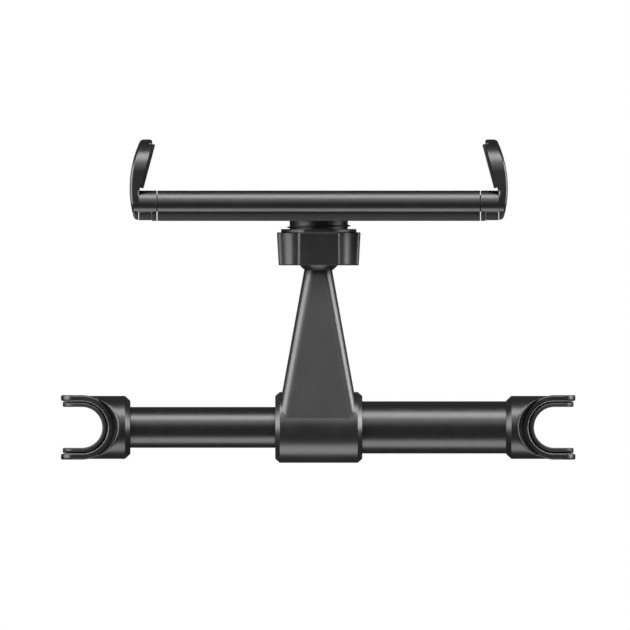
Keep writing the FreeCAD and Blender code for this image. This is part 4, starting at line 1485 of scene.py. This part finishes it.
    def tongue_part(self) -> bpy.types.Object:
        """The flat tongue that runs in the shell, with its rack.

        Returns:
            The solid.
        """
        pitch = math.pi
        tooth, slope = pitch / 4 - self.tooth_play, math.tan(math.radians(self.tooth_angle))
        wide, thin = tooth + self.dedendum * slope, tooth - self.addendum * slope
        root = []
        for step in range(self.teeth):
            place = pitch * (0.5 - self.teeth + 1 + step)
            root += [(place - wide, self.rack_root), (place - thin, self.rack_tip)]
            root += [(place + thin, self.rack_tip), (place + wide, self.rack_root)]
        outline = [
            (self.sleeve + OVER, -self.cavity),
            (self.sleeve + OVER, self.cavity),
            (self.shoulder, self.cavity),
            (self.shoulder, self.arm_top),
            (self.rack_end, self.arm_top),
            (self.rack_end, self.rack_root),
            *root,
            (self.shoulder, self.rack_root),
            (self.shoulder, -self.cavity),
        ]
        return prism(outline, from_front, *self.tongue)

    def strip(self, inner: float, outer: float, low: float, high: float) -> Loop:
        """Plan outline of a strip along the hook's inner face, between two distances off it.

        Args:
            inner: the first distance off the face, below 0 for inside the jaw.
            outer: the second distance.
            low: how far in front of the cradle it starts.
            high: how far in front of the cradle it ends.

        Returns:
            The four corners.
        """
        lean = math.radians(self.lean)
        corners = []
        for reach, off in ((low, inner), (high, inner), (high, outer), (low, outer)):
            depth = self.front - reach
            corners.append((self.inner(depth) - off * math.cos(lean), depth + off * math.sin(lean)))
        return corners

    def placed(self, thing: bpy.types.Object) -> bpy.types.Object:
        """Moves a solid from the middle of the cradle to its place, turned for the far jaw."""
        thing.data.transform(Matrix.Translation((self.middle, 0, 0)))
        return half_turn(thing, "Y", self.middle) if self.turned else thing

    def hook_piece(self) -> Piece:
        """The jaw itself.

        Returns:
            The finished mesh with its name, finish and body.
        """
        thing = self.hook()
        for part in (self.foot_part(), self.tongue_part()):
            combine(thing, part, Mix.ADD)
        spare, half = self.seat_fit, self.pad_half + self.seat_fit
        loop = self.strip(-self.pad_sink, self.seat_over, self.pad_low - spare, self.pad_high + spare)
        combine(thing, prism(loop, from_top, -half, half), Mix.CUT)
        name = f"{self.name}_hook"
        # The hook's faces behind the seam take the lighter grey, which is painted sheen.
        return Piece(self.placed(thing), name, CRADLE_PLASTIC, self.body, (self.name,), PAINTED_SHEEN_PLASTIC)

    def pad_piece(self) -> Piece:
        """The rubber lining of the hook, with rounded corners towards the tip.

        Returns:
            The finished mesh with its name, finish and body.
        """
        loop = self.strip(-self.pad_sink, self.pad_proud, self.pad_low, self.pad_high)
        thing = prism(loop, from_top, -self.pad_half, self.pad_half)
        bevelled(thing, self.lining_break)
        name = f"{self.name}_lining"
        return Piece(self.placed(thing), name, LINER_RUBBER, self.body, (f"{self.name}_pad",))

    def block_piece(self) -> Piece:
        """The block that closes the jaw behind the seam.

        Returns:
            The finished mesh with its name, finish and body.
        """
        low, high = self.seam + self.seat_fit, self.flat_half
        loop = box_loop(self.foot + self.seat_fit, low, self.lip - self.block_gap, self.block_end)
        thing = bevelled(prism(loop, from_top, -high, high), self.small_break, 2)
        name = f"{self.name}_block"
        # The block's lighter grey is painted sheen.
        return Piece(self.placed(thing), name, PAINTED_SHEEN_PLASTIC, self.body, (f"{self.name}_cover",))

    def build(self) -> List[Piece]:
        """The jaw, its lining and its block."""
        return [self.hook_piece(), self.pad_piece(), self.block_piece()]


@dataclass
class InnerParts:
    """The small parts inside, which keep the meshes of the frame and get their finish here."""

    finishes: Tuple[Tuple[str, Finish], ...] = (
        ("inner_plug", INNER_NYLON),
        ("hub_screw", BLACK_STEEL),
        ("friction_cup", INNER_NYLON),
        ("backing_pad", LINER_RUBBER),
        ("pinion", INNER_NYLON),
        ("pinion_pin", DRAWN_STEEL),
    )

    def dress(self) -> Iterable[str]:
        """Gives each inner part its material.

        Returns:
            The names of the parts.
        """
        for node, finish in self.finishes:
            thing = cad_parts[node]
            thing.data.materials.clear()
            thing.data.materials.append(finish.material())
            thing.data.shade_smooth()
            thing.data.set_sharp_from_angle(angle=SHARP_ANGLE)
            yield node


@dataclass
class Springs:
    """The three coil springs, copied from the frame's meshes."""

    finish: Finish = DRAWN_STEEL
    bar_travel: float = 45.0
    jaws: Tuple[Tuple[str, str, bool], ...] = (
        ("jaw_a_spring", "near_jaw", False),
        ("jaw_b_spring", "far_jaw", True),
    )

    def coil(self, node: str) -> bpy.types.Object:
        """A spring as a piece of its own, with its mesh from the frame.

        Args:
            node: the spring's name in the frame.

        Returns:
            The piece, which stands for the node.
        """
        thing = bpy.data.objects.new(f"{node}_coil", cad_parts[node].data.copy())
        bpy.context.scene.collection.objects.link(thing)
        thing.data.materials.clear()
        thing.data.materials.append(self.finish.material())
        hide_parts(node)
        return thing

    def dress(self) -> Iterable[str]:
        """Copies the bar's spring, which is pressed together and rides with the crossbar, and those of the
        jaws, which are drawn out.

        Returns:
            The names of the pieces.
        """
        low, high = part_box("bar_spring")
        coil = self.coil("bar_spring")
        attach(coil, "crossbar")
        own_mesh(coil)
        yield coil.name
        for node, body, turned in self.jaws:
            low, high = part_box(node)
            ends = [(low[0], 0, 0), (high[0], 0, 0)]
            if turned:
                ends.reverse()
            coil = self.coil(node)
            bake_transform(coil)
            yield coil.name


@dataclass(frozen=True)
class Lamp:
    """A soft box far from the holder: its direction, size and level."""

    name: str
    tilt: float
    bearing: float
    width: float
    height: float
    level: float
    distance: float = 1.1

    def light(self, target: Vector) -> bpy.types.Object:
        """Sets up the lamp so that it faces the target.

        Args:
            target: the point that it faces.

        Returns:
            The lamp.
        """
        lamp = bpy.data.lights.new(self.name, "AREA")
        lamp.shape = "RECTANGLE"
        lamp.size = self.width
        lamp.size_y = self.height
        lamp.energy = self.level * self.width * self.height * math.pi
        tilt, bearing = math.radians(self.tilt), math.radians(self.bearing)
        out = Vector((math.sin(tilt) * math.cos(bearing), math.sin(tilt) * math.sin(bearing), math.cos(tilt)))
        thing = bpy.data.objects.new(self.name, lamp)
        thing.location = target + out * self.distance
        thing.rotation_euler = out.to_track_quat("Z", "Y").to_euler()
        bpy.context.scene.collection.objects.link(thing)
        return thing


@dataclass
class Studio:
    """The floor, the soft lamps, the room's dim light and the camera."""

    aim: Point3 = (83.81, -39.34, 0.0)
    frame_width: float = 220.5
    camera_height: float = 600.0
    floor_level: float = -400.0
    floor_depth: float = 10.0
    floor_half: float = 1500.0
    room_level: float = 0.06
    room_gloss: float = 0.03
    floor_grey: float = 0.015
    floor_gloss: float = 0.01
    floor_roughness: float = 0.9
    clip: Point2 = (0.01, 10.0)
    lamps: Tuple[Lamp, ...] = (
        Lamp("front_strip", 56, -90, 1.3, 0.56, 6.6),
        Lamp("crown_strip", 27, -90, 1.3, 0.45, 1.2),
        Lamp("back_strip", 78, 90, 1.3, 0.70, 3.0),
        Lamp("left_box", 66, -12, 0.7, 1.05, 6.6),
        Lamp("right_box", 81, 194, 0.7, 0.65, 8.4),
    )

    def white_to_camera(
        self, tree: bpy.types.NodeTree, plain: bpy.types.NodeSocket, gloss: float
    ) -> bpy.types.NodeSocket:
        """Mixes white into a shader for the camera and for clear and mirrored rays.

        Args:
            tree: the node tree of the floor or the room.
            plain: the shader that all other rays see.
            gloss: the share of white that mirrored rays see, low as the photo's dark flanks ask.

        Returns:
            The mixed shader.
        """
        nodes, links = tree.nodes, tree.links
        paths = nodes.new("ShaderNodeLightPath")
        clear = nodes.new("ShaderNodeMath")
        clear.operation = "MAXIMUM"
        links.new(paths.outputs["Is Camera Ray"], clear.inputs[0])
        links.new(paths.outputs["Is Transmission Ray"], clear.inputs[1])
        seen = nodes.new("ShaderNodeMath")
        seen.operation = "MULTIPLY_ADD"
        seen.use_clamp = True
        seen.inputs[1].default_value = gloss
        links.new(paths.outputs["Is Glossy Ray"], seen.inputs[0])
        links.new(clear.outputs[0], seen.inputs[2])
        white = nodes.new("ShaderNodeEmission")
        mixed = nodes.new("ShaderNodeMixShader")
        links.new(seen.outputs[0], mixed.inputs[0])
        links.new(plain, mixed.inputs[1])
        links.new(white.outputs[0], mixed.inputs[2])
        return mixed.outputs[0]

    def floor(self) -> None:
        """A plain floor far below the holder, white where the camera sees it."""
        half = self.floor_half
        loop = box_loop(-half, -half, half, half)
        thing = prism(loop, from_top, self.floor_level - self.floor_depth, self.floor_level)
        thing.data.transform(Matrix.Scale(MM, 4))
        thing.name = "floor"
        paint = bpy.data.materials.new("floor_paint")
        paint.use_nodes = True
        tree = paint.node_tree
        shader = tree.nodes["Principled BSDF"]
        shader.inputs["Base Color"].default_value = (self.floor_grey, self.floor_grey, self.floor_grey, 1)
        shader.inputs["Roughness"].default_value = self.floor_roughness
        shown = self.white_to_camera(tree, shader.outputs[0], self.floor_gloss)
        tree.links.new(shown, tree.nodes["Material Output"].inputs["Surface"])
        thing.data.materials.append(paint)

    def room(self) -> None:
        """The dim light of the room, white where the camera sees it."""
        world = bpy.data.worlds.new("room")
        world.use_nodes = True
        bpy.context.scene.world = world
        tree = world.node_tree
        dim = tree.nodes["Background"]
        dim.inputs["Color"].default_value = (1, 1, 1, 1)
        dim.inputs["Strength"].default_value = self.room_level
        shown = self.white_to_camera(tree, dim.outputs[0], self.room_gloss)
        tree.links.new(shown, tree.nodes["World Output"].inputs["Surface"])

    def camera(self) -> None:
        """The camera of the photograph, straight above with the phone's side at the top."""
        lens = bpy.data.cameras.new("plan_view")
        lens.type = "ORTHO"
        lens.ortho_scale = self.frame_width * MM
        lens.clip_start, lens.clip_end = self.clip
        thing = bpy.data.objects.new("plan_view", lens)
        across, along, _ = self.aim
        thing.location = Vector((across, along, self.camera_height)) * MM
        thing.rotation_euler = Euler((0, 0, math.pi))
        bpy.context.scene.collection.objects.link(thing)
        bpy.context.scene.camera = thing

    def build(self) -> None:
        """Sets up everything round the holder."""
        self.floor()
        self.room()
        for lamp in self.lamps:
            lamp.light(Vector(self.aim) * MM)
        self.camera()
        bpy.context.scene.view_settings.view_transform = "Standard"


def main() -> None:
    """Builds every sub-assembly in order and reports its pieces."""
    logging.basicConfig(level=logging.INFO, format="%(message)s")
    assemblies = (
        Crossbar(),
        Fork("fixed_fork", "crossbar", *THICK_TUBE),
        Fork("sliding_fork", "sliding_bar", *THIN_TUBE, sliding=True),
        BallJoint(),
        Cradle(),
        Jaw("jaw_a", "near_jaw"),
        Jaw("jaw_b", "far_jaw", turned=True),
    )
    for assembly in assemblies:
        for piece in assembly.build():
            thing = piece.dress()
            log.info("%s: %d faces, %s", thing.name, len(thing.data.polygons), piece.finish.name)
    for node in InnerParts().dress():
        log.info("%s: kept from the frame", node)
    for name in Springs().dress():
        log.info("%s: changes its length with its joint", name)
    Studio().build()


if __name__ == "__main__":
    main()
